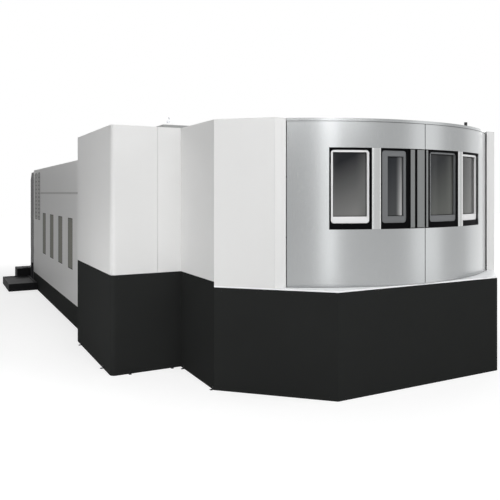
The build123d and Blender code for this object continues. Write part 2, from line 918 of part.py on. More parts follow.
def make_control_panel():
    """Control panel on a swivelling arm beside the operator's door, with its emergency stop."""
    post_x = side_half + pivot_out
    low = panel_z - pivot_height / 2
    high = low + pivot_height
    x0 = post_x + panel_arm - panel_arm_lap
    x1 = x0 + panel_width
    front = panel_y - panel_depth / 2
    z0, z1 = panel_z - panel_height / 2, panel_z + panel_height / 2
    arm_y = (panel_y - panel_arm_half_y, panel_y + panel_arm_half_y)
    arm_z = (panel_z - panel_arm_half_z, panel_z + panel_arm_half_z)
    face_x = (x0 + screen_border, x1 - screen_border)
    panel = rod(pivot_radius + sleeve_wall, post_x, panel_y, low + slide_gap, high - sleeve_top)
    panel += block(post_x + pivot_radius, post_x + panel_arm, *arm_y, *arm_z)
    panel -= rod(pivot_radius + shaft_gap, post_x, panel_y, low, high)
    panel += block(x0, x1, front, front + panel_depth, z0, z1)
    panel -= block(*face_x, front - over, front + screen_depth, panel_z, z1 - screen_border)
    panel -= block(*face_x, front - over, front + desk_depth, z0 + desk_border, panel_z - desk_border)
    button_x, button_z = x1 - button_from_side, z0 + button_from_low
    stem_radius = button_radius / 2
    panel -= rod_along_y(stem_radius + slide_gap, button_x, button_z, front - over, front + button_well)
    cap = rod_along_y(button_radius, button_x, button_z, front - button_length, front - button_travel)
    stem = rod_along_y(stem_radius, button_x, button_z, front - button_travel - over, front + button_stem)
    return {"control_panel": panel, "emergency_stop": cap + stem}


# Cabinet, tray, tank and lamp


def make_cabinet():
    """Electrical cabinet with a bevelled top edge, on four legs, and its two doors at the back."""
    left, right = -rear_left, cabinet_right
    front, back = rear_depth, cabinet_back - door_thick
    shoulder = cabinet_high - cabinet_bevel
    profile = [
        (front, cabinet_low),
        (back, cabinet_low),
        (back, shoulder),
        (back - cabinet_bevel, cabinet_high),
        (front, cabinet_high),
    ]
    margin = cabinet_door_margin
    low, high = cabinet_low + margin, shoulder - margin
    inside_y = (front + cabinet_wall, back - cabinet_wall)
    body = prism_along_x(profile, left, right)
    body -= block(left + cabinet_wall, right - cabinet_wall, *inside_y, low, high)
    body -= block(left + margin, right - margin, back - cabinet_wall - over, back + over, low, high)
    for x in (left, right - leg_side):
        for y in (front, back - leg_side):
            body += block(x, x + leg_side, y, y + leg_side, 0, cabinet_low)
    middle = (left + right) / 2
    gap = cabinet_door_gap
    left_pull, right_pull = middle + pull_inset, middle - pull_inset - pull_width
    return {
        "cabinet": body,
        "cabinet_door_left": cabinet_door(middle + gap, right - gap, left_pull),
        "cabinet_door_right": cabinet_door(left + gap, middle - gap, right_pull),
    }


def cabinet_door(x0, x1, pull_x):
    """One folded door of the cabinet, with its upright pull."""
    y0, y1 = cabinet_back - door_thick + slide_gap, cabinet_back
    z0, z1 = cabinet_low, cabinet_high - cabinet_bevel
    leaf = block(x0, x1, y0, y1, z0, z1)
    leaf -= block(x0 + sheet, x1 - sheet, y0 - over, y1 - sheet, z0 + sheet, z1 - sheet)
    return leaf + block(pull_x, pull_x + pull_width, y1, y1 + pull_width, pull_low, pull_low + pull_length)


def make_floor_units():
    """Drip tray beside the back corner and the coolant tank behind it."""
    tray = block(-tray_left, -rear_left, tray_front, tray_back, 0, tray_height)
    sump_x = (-tray_left + tray_rim, -rear_left - tray_rim)
    sump_y = (tray_front + tray_rim, tray_back - tray_rim)
    tray -= block(*sump_x, *sump_y, tray_height - tray_sump, tray_height + over)
    tank_front, tank_end = tray_back, tray_back + tank_depth
    hatch_x = -tank_left + hatch_start
    tank = block(-tank_left, tank_right, tank_front, tank_end, 0, tank_height)
    tank += block(
        hatch_x, hatch_x + hatch_length, tank_front + hatch_inset, tank_end - hatch_inset,
        tank_height, tank_height + hatch_thick,
    )
    return {"drip_tray": tray, "coolant_tank": tank}


def make_lamp():
    """Waisted signal lamp on the roof."""
    outline = [
        (0, 0),
        (lamp_foot, 0),
        (lamp_waist, lamp_waist_low),
        (lamp_waist, lamp_waist_high),
        (lamp_radius, lamp_head_low),
        (lamp_radius, lamp_rise),
        (0, lamp_rise),
    ]
    lamp = revolve(Plane.XZ * make_face(Polyline(*outline, close=True)), Axis.Z)
    return {"signal_lamp": Pos(lamp_x, lamp_y, front_height) * lamp}


# Bed, guideways and levelling pads


def bed_casting():
    """The T-shaped bed with a chip trough, and pockets between the ribs of its cross beam."""
    bed = block(-bed_half, bed_half, bed_front, cross_front, pad_height, bed_height)
    bed += block(-cross_half, cross_half, cross_front, cross_back, pad_height, bed_height)
    trough_z = (bed_height - trough_depth, bed_height + over)
    bed -= block(-trough_half, trough_half, bed_front - over, cross_front - trough_end, *trough_z)
    rib = bed_pocket_rib
    pitch = 2 * cross_half / back_pockets
    pocket_z = (bed_pocket_low, bed_pocket_high)
    for i in range(back_pockets):
        x0 = -cross_half + i * pitch + rib
        bed -= block(x0, x0 + pitch - 2 * rib, cross_back - bed_pocket_depth, cross_back + over, *pocket_z)
    pitch = (cross_front - bed_front) / side_pockets
    for i in range(side_pockets):
        y0 = bed_front + i * pitch + rib
        for side in (-1, 1):
            x0, x1 = side * (bed_half - bed_pocket_depth), side * (bed_half + over)
            bed -= block(x0, x1, y0, y0 + pitch - 2 * rib, *pocket_z)
    return bed


def levelling_pads():
    """Square pads under the bed."""
    places = []
    for x in (-bed_half + pad_inset, bed_half - pad_inset):
        places += [(x, bed_front + pad_inset), (x, (bed_front + cross_front) / 2)]
    for x in (-cross_half + pad_inset, 0, cross_half - pad_inset):
        places += [(x, cross_front + pad_side), (x, cross_back - pad_side)]
    half = pad_side / 2
    return [block(x - half, x + half, y - half, y + half, 0, pad_height) for x, y in places]


def make_bed():
    """The bed on its pads, with hardened rails and the column's feed screw."""
    half = rail_width / 2
    rail_z = (bed_height, bed_height + rail_height)
    rails = []
    for x in (-table_rail_x, table_rail_x):
        rails.append(block(x - half, x + half, bed_front + rail_end, cross_front - rail_end, *rail_z))
    cross_end = cross_half - rail_end
    for y in (column_rail_front, column_rail_back):
        rails.append(block(-cross_end, cross_end, y - half, y + half, *rail_z))
    middle = (column_rail_front + column_rail_back) / 2
    screw_z = bed_height + screw_height
    screw = rod_along_x(screw_radius, middle, screw_z, -cross_end, cross_end)
    block_y = (middle - screw_block_half, middle + screw_block_half)
    for x in (-cross_end, cross_end - screw_block):
        screw += block(x, x + screw_block, *block_y, bed_height, screw_z + screw_block_top)
    return {
        "bed": bed_casting(),
        "levelling_pads": levelling_pads(),
        "guideways": rails + [screw, mast_rail()],
    }


def mast_rail():
    """The floor rail of the tool mast, with ties to the rack's posts."""
    x0, x1 = -mast_outer + mast_rail_inset, -mast_inner - mast_rail_inset
    rail = block(x0, x1, rack_front - post_side, mast_rail_back, 0, mast_rail_height)
    for y in (rack_front - post_side, rack_front + rack_places * rack_pitch):
        rail += block(-rack_inner, x0 + over, y, y + post_side, 0, mast_rail_height)
    return rail


def rail_grooves(solid, rails, low, high):
    """Cut running grooves for a set of rails, each given as its plan rectangle."""
    for x0, x1, y0, y1 in rails:
        solid -= block(x0 - slide_gap, x1 + slide_gap, y0 - slide_gap, y1 + slide_gap, low, high)
    return solid


# Pallets, rotary table and set-up station


def make_pallet(x, y):
    """A pallet with bevelled corners, four tapped holes, a centre bore and a clamping groove round it."""
    half = pallet_side / 2
    low = pallet_top - pallet_thick
    plate = prism(bevelled_square(half, pallet_corner), low, pallet_top)
    spread = bolt_spacing / 2
    for dx in (-spread, spread):
        for dy in (-spread, spread):
            plate -= rod(bolt_radius, dx, dy, pallet_top - bolt_depth, pallet_top + over)
    plate -= rod(centre_bore, 0, 0, pallet_top - centre_depth, pallet_top + over)
    groove_z = (low + pallet_groove_low, low + pallet_groove_high)
    for side in (-1, 1):
        edge, bottom = side * half, side * (half - pallet_groove)
        plate -= block(edge, bottom, -half, half, *groove_z)
        plate -= block(-half, half, edge, bottom, *groove_z)
    return Pos(x, y, 0) * plate


def make_turntable(x, y):
    """A bevelled plinth and the round neck that a pallet sits on."""
    plinth = prism(bevelled_square(plinth_half, plinth_corner), plinth_low + slide_gap, neck_low)
    return Pos(x, y, 0) * (plinth + rod(neck_radius, 0, 0, neck_low, pallet_top - pallet_thick))


def make_table():
    """The table that travels on the front bed and carries the rotary table."""
    y = arc_y + change_radius
    rail_top = bed_height + rail_height
    low = rail_top - carriage_lap
    y0, y1 = y - table_half_y, y + table_half_y
    half = rail_width / 2
    rails = [(x - half, x + half, y0 - over, y1 + over) for x in (-table_rail_x, table_rail_x)]
    body = block(-table_half_x, table_half_x, y0, y1, low, plinth_low)
    body = rail_grooves(body, rails, low - over, rail_top + slide_gap)
    slot = table_rail_x - table_slot_edge
    body -= block(-slot, slot, y0 - over, y1 + over, low - over, rail_top + table_slot_height)
    return {"table": body, "rotary_table": make_turntable(0, y), "pallet_machining": make_pallet(0, y)}


def make_setup_station():
    """One casting with the stand at the front doors and the arm's pedestal, and what turns on the stand."""
    y = arc_y - change_radius
    y0, y1 = y - stand_half, y + stand_half
    base = block(-stand_half, stand_half, fold, bed_front, 0, base_thick)
    base += block(-stand_half, stand_half, y0, y1, base_thick, plinth_low)
    base -= block(-arch_half, arch_half, y0 - over, y1 + over, base_thick, arch_height)
    base += rod(pedestal_radius, 0, arc_y, base_thick, pedestal_height)
    well = arm_low - lift_length - lift_well
    base -= rod(lift_radius + shaft_gap, 0, arc_y, well, pedestal_height + over)
    return {"changer_base": base, "setup_turntable": make_turntable(0, y), "pallet_setup": make_pallet(0, y)}


def make_change_arm():
    """S-shaped change arm: two open forks on one hub, on its lifting shaft."""
    lift = rod(lift_radius, 0, arc_y, arm_low - lift_length, arm_low)
    low, high = arm_low + slide_gap, arm_low + arm_thick
    cut = (low - over, high + over)
    slot_in, slot_out = change_radius - slot_half, change_radius + slot_half
    open_end = 90 - finger_end - over
    fork = arc_block(arm_hub - arm_root, arm_outer, 90 - finger_end, 90 - web_start, low, high)
    fork -= arc_block(slot_in, slot_out, open_end, 90 - web_end, *cut)
    fork -= arc_block(finger_inner, slot_in + over, open_end, 90 - finger_edge, *cut)
    arm = rod(arm_hub, 0, arc_y, low, high) + fork
    arm += Pos(0, arc_y, 0) * Rot(0, 0, 180) * Pos(0, -arc_y, 0) * fork
    return {"arm_lift": lift, "change_arm": arm}


def make_partition():
    """Two leaves that close the work space, hung in a track under the roof."""
    y0, y1 = arc_y - partition_thick / 2, arc_y + partition_thick / 2
    groove_low = partition_high - track_lip
    track = block(-track_half, track_half, y0 - track_wall, y1 + track_wall, groove_low, track_high)
    groove_y = (y0 - slide_gap, y1 + slide_gap)
    groove_z = (groove_low - over, partition_high + slide_gap)
    track -= block(-track_half - over, track_half + over, *groove_y, *groove_z)
    for x in roof_rib_centres()[1:-1]:
        track += block(x - hanger_half, x + hanger_half, y0, y1, track_high, front_height - fold)
    edge = partition_edge
    pane_x = (partition_pane_side, partition_half - partition_pane_side)
    pane_z = (partition_pane_low, partition_pane_high)
    pane_y = (y0 + partition_pane, y0 + 2 * partition_pane)
    leaf = block(partition_gap, partition_half, y0, y1, partition_low, partition_high)
    pocket_z = (partition_low + edge, partition_pane_low - edge)
    leaf -= block(edge, partition_half - edge, y0 + sheet, y1 + over, *pocket_z)
    leaf -= block(*pane_x, y0 - over, y1 + over, *pane_z)
    leaf += block(*pane_x, *pane_y, *pane_z)
    return {"partition_track": track, "partition_right": leaf, "partition_left": flip(leaf)}


# Column, head and spindle


def column_casting():
    """The tapered column, with pockets between ribs in its sides and upright rails on its front."""
    rail_top = bed_height + rail_height
    low = rail_top - carriage_lap
    profile = [
        (column_front, low),
        (column_back, low),
        (column_back, rail_top + column_base),
        (column_top_back, column_top),
        (column_front, column_top),
    ]
    column = prism_along_x(profile, -column_half, column_half)
    half = rail_width / 2
    cut_x = (-column_half - over, column_half + over)
    rails = [(*cut_x, y - half, y + half) for y in (column_rail_front, column_rail_back)]
    column = rail_grooves(column, rails, low - over, rail_top + slide_gap)
    middle = (column_rail_front + column_rail_back) / 2
    tunnel_y = (middle - screw_tunnel_half, middle + screw_tunnel_half)
    column -= block(*cut_x, *tunnel_y, low - over, bed_height + screw_height + screw_tunnel_top)
    bay_low, bay_high = rail_top + column_bay_low, column_top - column_bay_top
    bay_y = (column_front + column_bay_front, column_top_back - column_bay_back)
    pitch = (bay_high - bay_low) / column_bays
    for side in (-1, 1):
        bay_x = (side * (column_half + over), side * (column_half - column_pocket))
        for i in range(column_bays):
            z0 = bay_low + i * pitch
            column -= block(*bay_x, *bay_y, z0, z0 + pitch - column_bay_rib)
    rail_y = (column_front - rail_height, column_front)
    for x in (-head_rail_x, head_rail_x):
        column += block(x - half, x + half, *rail_y, head_rail_low, head_rail_high)
    return column


def make_column():
    """Column, spindle head and spindle."""
    z0, z1 = head_rest - head_half_z, head_rest + head_half_z
    back = column_front - head_gap
    head = block(-head_half_x, head_half_x, head_front, back, z0, z1)
    half = rail_width / 2 + slide_gap
    groove_y = (column_front - rail_height - slide_gap, back + over)
    for x in (-head_rail_x, head_rail_x):
        head -= block(x - half, x + half, *groove_y, z0 - over, z1 + over)
    front_edges = head.edges().filter_by(Axis.Z).group_by(Axis.Y)[0]
    head = chamfer(front_edges, head_bevel)
    nose = head_front - nose_length
    bore_end = head_front + spindle_hole
    head += rod_along_y(nose_radius, 0, head_rest, nose, head_front + over)
    head -= rod_along_y(spindle_radius + shaft_gap, 0, head_rest, nose - over, bore_end)
    tip = nose - spindle_out
    spindle = rod_along_y(spindle_radius, 0, head_rest, tip, bore_end - spindle_end_gap)
    spindle -= rod_along_y(spindle_bore, 0, head_rest, tip - over, tip + spindle_bore_depth)
    return {"column": column_casting(), "spindle_head": head, "spindle": spindle}


# Tool store and changer


def tool_blank():
    """A tool in its holder, hanging by its flange; its height is counted from the shelf's top."""
    flange_top = flange_thick
    tool = faceted_rod(tool_shank, -tool_below, -neck_below)
    tool += faceted_rod(tool_neck, -neck_below, 0)
    tool += faceted_rod(tool_flange, 0, flange_top)
    taper = loft([
        Pos(0, 0, flange_top) * RegularPolygon(taper_foot, tool_sides),
        Pos(0, 0, flange_top + tool_above) * RegularPolygon(taper_tip, tool_sides),
    ])
    return tool + taper


def make_rack():
    """Comb shelves on four posts behind the side windows, and the tools that hang in them."""
    back = rack_front + rack_places * rack_pitch
    tool_x = -rack_inner - tool_inset
    half = tool_neck + notch_gap
    shelf_x, shelf_y = (-rack_back_x, -rack_inner), (rack_front - post_side, back + post_side)
    rack = None
    for level in range(rack_count):
        z0 = rack_low + level * rack_rise
        z1 = z0 + shelf_thick
        shelf = block(*shelf_x, *shelf_y, z0, z1)
        for i in range(rack_places):
            y = rack_front + (i + 0.5) * rack_pitch
            notch = [
                (-rack_inner + over, y - half),
                (-rack_inner + over, y + half),
                (tool_x - half / 2, y + half),
                (tool_x - half, y + half / 2),
                (tool_x - half, y - half / 2),
                (tool_x - half / 2, y - half),
            ]
            shelf -= prism(notch, z0 - over, z1 + over)
        rack = shelf if rack is None else rack + shelf
    for x0 in (-rack_back_x, -rack_inner - post_side):
        for y0 in (rack_front - post_side, back):
            rack += block(x0, x0 + post_side, y0, y0 + post_side, 0, seam_height + rack_over_seam)
    tools = []
    for level in range(tool_levels):
        z = rack_low + level * rack_rise + shelf_thick
        for i in range(level, rack_places, 2):
            tools.append(Pos(tool_x, rack_front + (i + 0.5) * rack_pitch, z) * tool_blank())
    return {"tool_rack": rack, "tools": tools}


def make_mast():
    """The mast on its floor rail, and the lifting carriage with two fingers for a tool."""
    x0, x1 = -mast_outer, -mast_inner
    y0, y1 = mast_rest - mast_width / 2, mast_rest + mast_width / 2
    low = mast_rail_height + slide_gap
    mast = block(x0, x1, y0, y1, low, mast_high)
    foot_y = (mast_rest - mast_width, mast_rest + mast_width)
    mast += block(x0 - mast_frame, x1 + mast_frame, *foot_y, low, mast_rail_height + mast_foot)
    window_z = (mast_rail_height + mast_window_low, mast_high - mast_window_top)
    mast -= block(x0 + mast_frame, x1 - mast_frame, y0 - over, y1 + over, *window_z)
    z0, z1 = lift_rest - lift_block / 2, lift_rest + lift_block / 2
    lift = block(x0 - lift_wall, x1 + lift_wall, y0 - lift_wall, y1 + lift_wall, z0, z1)
    lift -= block(x0 - slide_gap, x1 + slide_gap, y0 - slide_gap, y1 + slide_gap, z0 - over, z1 + over)
    finger_x = (x0 - lift_wall - finger_length, x0 - lift_wall)
    finger_z = (lift_rest - finger_side / 2, lift_rest + finger_side / 2)
    for y in (mast_rest - finger_spread, mast_rest + finger_spread - finger_side):
        lift += block(*finger_x, y, y + finger_side, *finger_z)
    return {"tool_mast": mast, "tool_lift": lift}


def make_tool_changer():
    """Double-ended tool change arm on its gearbox and post."""
    x, z = changer_x, changer_z
    box_x = (x - changer_box, x + changer_box)
    arm_y = (changer_y, changer_y + changer_thick)
    cut_y = (changer_y - over, changer_y + changer_thick + over)
    front = changer_y + changer_thick + changer_stand_off
    shaft_end = front + changer_shaft_length
    post = block(*box_x, front, changer_post_back, z - changer_box, z + changer_box)
    post += block(*box_x, changer_post_front, changer_post_back, bed_height, z - changer_box)
    post -= rod_along_y(changer_shaft + shaft_gap, x, z, front - over, shaft_end + changer_shaft_gap)
    arm = rod_along_y(changer_hub, x, z, *arm_y)
    arm += rod_along_y(changer_shaft, x, z, changer_y, shaft_end)
    claw_radius = tool_flange + claw_gap
    for side in (-1, 1):
        grip_z = z + side * changer_reach
        arm += block(x - changer_half, x + changer_half, *arm_y, z, grip_z - side * changer_root)
        claw = rod_along_y(changer_claw, x, grip_z, *arm_y)
        claw -= rod_along_y(claw_radius, x, grip_z, *cut_y)
        claw -= block(x, x - side * changer_box, *cut_y, grip_z - claw_radius, grip_z + claw_radius)
        arm += claw
    return {"changer_post": post, "changer_arm": arm}


def make_everything():
    """Every piece by its name, in the machine's own coordinates."""
    makers = [
        make_skirts, make_covers, make_roofs, make_hood, make_door_tracks, make_doors,
        make_left_wall, make_other_walls, make_entry, make_control_panel, make_cabinet, make_floor_units,
        make_lamp, make_bed, make_table, make_setup_station, make_change_arm, make_partition,
        make_column, make_rack, make_mast, make_tool_changer,
    ]
    pieces = {}
    for make in makers:
        pieces.update(make())
    return {name: Compound(shape) if isinstance(shape, list) else shape for name, shape in pieces.items()}


pieces = make_everything()
boxes = [piece.bounding_box() for piece in pieces.values()]
middle_x = (min(b.min.X for b in boxes) + max(b.max.X for b in boxes)) / 2
middle_y = (min(b.min.Y for b in boxes) + max(b.max.Y for b in boxes)) / 2

os.makedirs("parts", exist_ok=True)
for name, piece in pieces.items():
    export_step(Pos(-middle_x, -middle_y, 0) * piece, f"parts/{name}.step")
print(len(pieces), "pieces; machine origin moved by", round(middle_x, 3), round(middle_y, 3))
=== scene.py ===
# %% [markdown]
# # A machining center with curved doors
#
# The construction of the machine is fixed: every panel, rail and casting is already modelled at its real
# size. This lesson gives it its looks: lamps, camera, finishes, and the small parts that are fastened to
# the panels. Each step first says what the real thing is, then how it can be made in Blender and why one
# way was chosen.

# %% Load the fixed frame
import bmesh
import bpy
import json
from math import atan2, cos, degrees, pi, radians, sin
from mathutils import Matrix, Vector
from mathutils.bvhtree import BVHTree


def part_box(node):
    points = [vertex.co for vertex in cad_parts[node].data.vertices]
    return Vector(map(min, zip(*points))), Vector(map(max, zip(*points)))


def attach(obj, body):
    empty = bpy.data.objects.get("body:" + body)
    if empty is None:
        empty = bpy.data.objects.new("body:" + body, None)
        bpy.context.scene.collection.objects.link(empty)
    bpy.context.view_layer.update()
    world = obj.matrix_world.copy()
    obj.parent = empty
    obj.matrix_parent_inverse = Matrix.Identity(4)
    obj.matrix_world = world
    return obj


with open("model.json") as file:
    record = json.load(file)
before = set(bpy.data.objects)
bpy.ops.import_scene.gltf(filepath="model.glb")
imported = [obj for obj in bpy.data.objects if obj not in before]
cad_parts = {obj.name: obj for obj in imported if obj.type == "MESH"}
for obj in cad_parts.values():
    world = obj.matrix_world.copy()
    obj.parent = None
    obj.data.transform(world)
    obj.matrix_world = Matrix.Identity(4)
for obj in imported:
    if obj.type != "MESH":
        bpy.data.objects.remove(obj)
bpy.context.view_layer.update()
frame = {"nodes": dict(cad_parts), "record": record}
nodes = frame["nodes"]
scene = bpy.context.scene

# %% [markdown]
# ## The machine's own coordinates
#
# The frame's origin lies under the middle of the whole machine. A designer thinks from the front skirt
# and from the axis of the doors instead. Both are read from the frame, and the lamps and small parts are
# set out from them.

# %% Find the machine's middle line, its front and the axis of the curved doors
left_door_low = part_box("door_left")[0]
right_door_low, right_door_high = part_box("door_right")
skirt_low, skirt_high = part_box("skirt_front")
lift_low, lift_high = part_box("arm_lift")
middle_x = (left_door_low.x + right_door_high.x) / 2
front_y = skirt_low.y
arc_y = lift_low.y / 2 + lift_high.y / 2
door_radius = arc_y - right_door_low.y
print("middle x:", round(middle_x, 3), "front y:", round(front_y, 3), "door radius:", round(door_radius, 3))

# %% [markdown]
# ## Camera
#
# The picture was taken from eye level beside the front left corner with a short telephoto lens. The
# machine's upright edges are all parallel in it, so the camera is level, and its height comes from a
# small shift of the lens. A camera that is level and shifted keeps those edges parallel, which a tilted
# one would not.

# %% Make the camera
camera_data = bpy.data.cameras.new("view_camera")
camera_data.sensor_width = 36.0
camera_data.lens = 42.96
camera_data.shift_y = -0.1138
camera_data.clip_end = 200.0
camera = bpy.data.objects.new("view_camera", camera_data)
scene.collection.objects.link(camera)
camera.location = (-6.0415, -13.9074, 2.88)
camera.rotation_euler = (radians(90), 0, radians(-27.62))
scene.camera = camera
scene.view_settings.view_transform = "Standard"
print("camera at", tuple(camera.location), "lens", camera_data.lens)

# %% [markdown]
# ## Small helpers for node trees
#
# A material is a graph of nodes. A few short helpers keep the graphs readable: they add a node and fill
# its sockets by name, start a node group, which is a reusable piece of graph with named inputs and
# outputs, and write the sums and mixes that every graph needs.

# %% Define the node helpers
def feed(tree, node, inputs):
    """Fill sockets: another node's output gets linked, anything else becomes the socket's own value."""
    for name, value in inputs.items():
        if isinstance(value, bpy.types.NodeSocket):
            tree.links.new(value, node.inputs[name])
        else:
            node.inputs[name].default_value = value


def add_node(tree, kind, inputs=None, **settings):
    """Add a node, with its settings and its inputs."""
    node = tree.nodes.new("ShaderNode" + kind)
    for name, value in settings.items():
        setattr(node, name, value)
    feed(tree, node, inputs or {})
    return node


def new_group(name, inputs, outputs):
    """Start a node group; inputs are name: (kind, value) and outputs are name: kind."""
    group = bpy.data.node_groups.new(name, "ShaderNodeTree")
    for socket, (kind, value) in inputs.items():
        made = group.interface.new_socket(socket, in_out="INPUT", socket_type="NodeSocket" + kind)
        made.default_value = value
    for socket, kind in outputs.items():
        group.interface.new_socket(socket, in_out="OUTPUT", socket_type="NodeSocket" + kind)
    return group, group.nodes.new("NodeGroupInput").outputs, group.nodes.new("NodeGroupOutput")


def use_group(tree, name, inputs=None):
    """Place a finished group in a tree."""
    return add_node(tree, "Group", inputs, node_tree=bpy.data.node_groups[name]).outputs


def math(tree, operation, a, b=0.0, clamp=False):
    """A Math node's result for two values or sockets."""
    return add_node(tree, "Math", {0: a, 1: b}, operation=operation, use_clamp=clamp).outputs[0]


def remap(tree, value, old, new=(0.0, 1.0), smooth=False):
    """A Map Range node's result: the ends of the old range become those of the new one."""
    ends = {"Value": value, "From Min": old[0], "From Max": old[1], "To Min": new[0], "To Max": new[1]}
    curve = "SMOOTHSTEP" if smooth else "LINEAR"
    return add_node(tree, "MapRange", ends, interpolation_type=curve).outputs[0]


def mix_colours(tree, share, first, second):
    """A colour that lies between two by a share."""
    return add_node(tree, "Mix", {0: share, 6: first, 7: second}, data_type="RGBA").outputs[2]


def object_place(tree):
    """Where on the object a point lies, in metres."""
    return add_node(tree, "TexCoord").outputs["Object"]


print("helpers ready")

# %% [markdown]
# ## White studio
#
# The photograph was taken against pure white. White light from all sides would wash the machine out, so
# the world lights it softly and only looks white: the Light Path node tells what kind of ray asks, and
# camera, mirror and glass rays get a plain white of strength 1.

# %% Make the world
world = bpy.data.worlds.new("white_studio")
world.use_nodes = True
scene.world = world
sky = world.node_tree
sky.nodes.clear()
world_light = 0.1
white = (1, 1, 1, 1)


def by_ray(tree, lights, seen):
    """Mix two shaders: the first lights the machine, camera, mirror and glass rays see the second."""
    path = add_node(tree, "LightPath").outputs
    looks = math(tree, "ADD", path["Is Camera Ray"], path["Is Glossy Ray"])
    looks = math(tree, "ADD", looks, path["Is Transmission Ray"], clamp=True)
    return add_node(tree, "MixShader", {0: looks, 1: lights.outputs[0], 2: seen.outputs[0]}).outputs[0]


soft_sky = add_node(sky, "Background", {"Color": white, "Strength": world_light})
white_sky = add_node(sky, "Background", {"Color": white, "Strength": 1.0})
add_node(sky, "OutputWorld", {"Surface": by_ray(sky, soft_sky, white_sky)})
print("world light", world_light)

# %% [markdown]
# ## Floor
#
# The floor is a pale sheet that keeps the machine's soft shadow. To the camera it glows a little, so that
# it meets the white background without an edge, and further out it fades to pure white. To the machine it
# is plain pale paint that throws light back up.

# %% Make the floor
floor_half = 60.0
fade_from, fade_to, floor_glow = 9.0, 20.0, 0.72
floor_mesh = bpy.data.meshes.new("floor")
floor_corners = [(-1, -1), (1, -1), (1, 1), (-1, 1)]
floor_mesh.from_pydata([(floor_half * x, floor_half * y, 0) for x, y in floor_corners], [], [(0, 1, 2, 3)])
floor = bpy.data.objects.new("floor", floor_mesh)
scene.collection.objects.link(floor)

floor_paint = bpy.data.materials.new("pale_floor")
floor_paint.use_nodes = True
tree = floor_paint.node_tree
tree.nodes.clear()
place = add_node(tree, "NewGeometry").outputs["Position"]
distance = add_node(tree, "VectorMath", {0: place}, operation="LENGTH").outputs["Value"]
fade = remap(tree, distance, (fade_from, fade_to), (floor_glow, 1.0), smooth=True)
pale = add_node(tree, "BsdfDiffuse", {"Color": (0.8, 0.8, 0.8, 1)})
shaded = add_node(tree, "BsdfDiffuse", {"Color": (0.4, 0.4, 0.4, 1)})
glow = add_node(tree, "Emission", {"Color": white, "Strength": fade})
seen_floor = add_node(tree, "AddShader", {0: shaded.outputs[0], 1: glow.outputs[0]})
add_node(tree, "OutputMaterial", {"Surface": by_ray(tree, pale, seen_floor)})
floor_mesh.materials.append(floor_paint)
print("floor", 2 * floor_half, "m")

# %% [markdown]
# ## Softboxes
#
# Satin metal shows what stands round it. The curved doors of the photograph carry three soft upright
# highlights with darker metal between them, which is what three tall strip lamps give on a cylinder. A
# broad softbox near the camera lights the white covers, and weaker ones keep the far sides readable. A
# lamp's power is worked out from the brightness of its face, because that brightness is what a reflection
# shows.

# %% Hang the lamps
def softbox(name, spot, aim, width, height, brightness):
    """A rectangular lamp turned to an aim; brightness is what its face looks like, and 1 is white."""
    data = bpy.data.lights.new(name, "AREA")
    data.shape = "RECTANGLE"
    data.size = width
    data.size_y = height
    data.energy = brightness * pi * width * height
    lamp = bpy.data.objects.new(name, data)
    scene.collection.objects.link(lamp)
    lamp.location = spot
    lamp.rotation_euler = (Vector(aim) - Vector(spot)).to_track_quat("-Z", "Y").to_euler()


def round_doors(azimuth, distance, height):
    """A point at an azimuth from straight ahead, seen from the middle of the doors."""
    angle = radians(azimuth)
    return (middle_x + distance * sin(angle), front_y - distance * cos(angle), height)


strip_lamps = {"strip_left": (-25, 1.4, 1.9), "strip_seam": (45, 3.8, 0.9), "strip_right": (98, 4.4, 0.5)}
strip_distance, strip_height, strip_tall, door_middle = 9.0, 3.2, 6.4, round_doors(0, 0, 2.6)
for name, (azimuth, width, brightness) in strip_lamps.items():
    spot = round_doors(azimuth, strip_distance, strip_height)
    softbox(name, spot, door_middle, width, strip_tall, brightness)
fill_lamps = {
    "front_key": (round_doors(-14, 13.0, 10.0), (-1.0, -5.0, 2.0), 8.0, 6.0, 6.6),
    "left_key": ((-7.8, -12.6, 8.0), (-3.0, -4.5, 2.5), 5.0, 4.0, 5.0),
    "left_low": ((-6.9, -5.2, 0.8), (-3.5, -3.4, 1.9), 2.4, 1.2, 6.0),
    "right_fill": ((11.0, -13.0, 11.0), (1.5, -4.0, 2.0), 6.0, 5.0, 4.6),
    "back_fill": ((-4.0, 18.0, 7.0), (0.0, 6.0, 2.0), 6.0, 5.0, 5.0),
    "side_fill": ((15.0, 1.0, 7.0), (3.4, 0.0, 2.0), 6.0, 5.0, 4.5),
    "top_fill": ((0.0, -2.0, 12.0), (0.0, -2.0, 0.0), 8.0, 8.0, 2.0),
}
for name, settings in fill_lamps.items():
    softbox(name, *settings)
print("lamps:", len(strip_lamps) + len(fill_lamps))

# %% [markdown]
# ## Shared effects
#
# Several finishes need the same three effects, so each is a node group, built once. Powder coat has a
# fine orange peel, which only bends the light. Large painted panels are never one flat tone: the colour
# drifts a little over a metre or so. Ground and brushed metal has streaks that run one way.

# %% Orange peel: a height that bends the light on coated metal
def noise(tree, place, size, detail, **more):
    """A noise's value; size is how large its clouds are."""
    settings = {"Vector": place, "Scale": math(tree, "DIVIDE", 1.0, size), "Detail": detail, **more}
    return add_node(tree, "TexNoise", settings).outputs[0]


group, inputs, result = new_group("orange_peel", {"Size": ("Float", 0.004)}, {"Height": "Float"})
feed(group, result, {"Height": noise(group, object_place(group), inputs["Size"], 1.0, Roughness=0.4)})

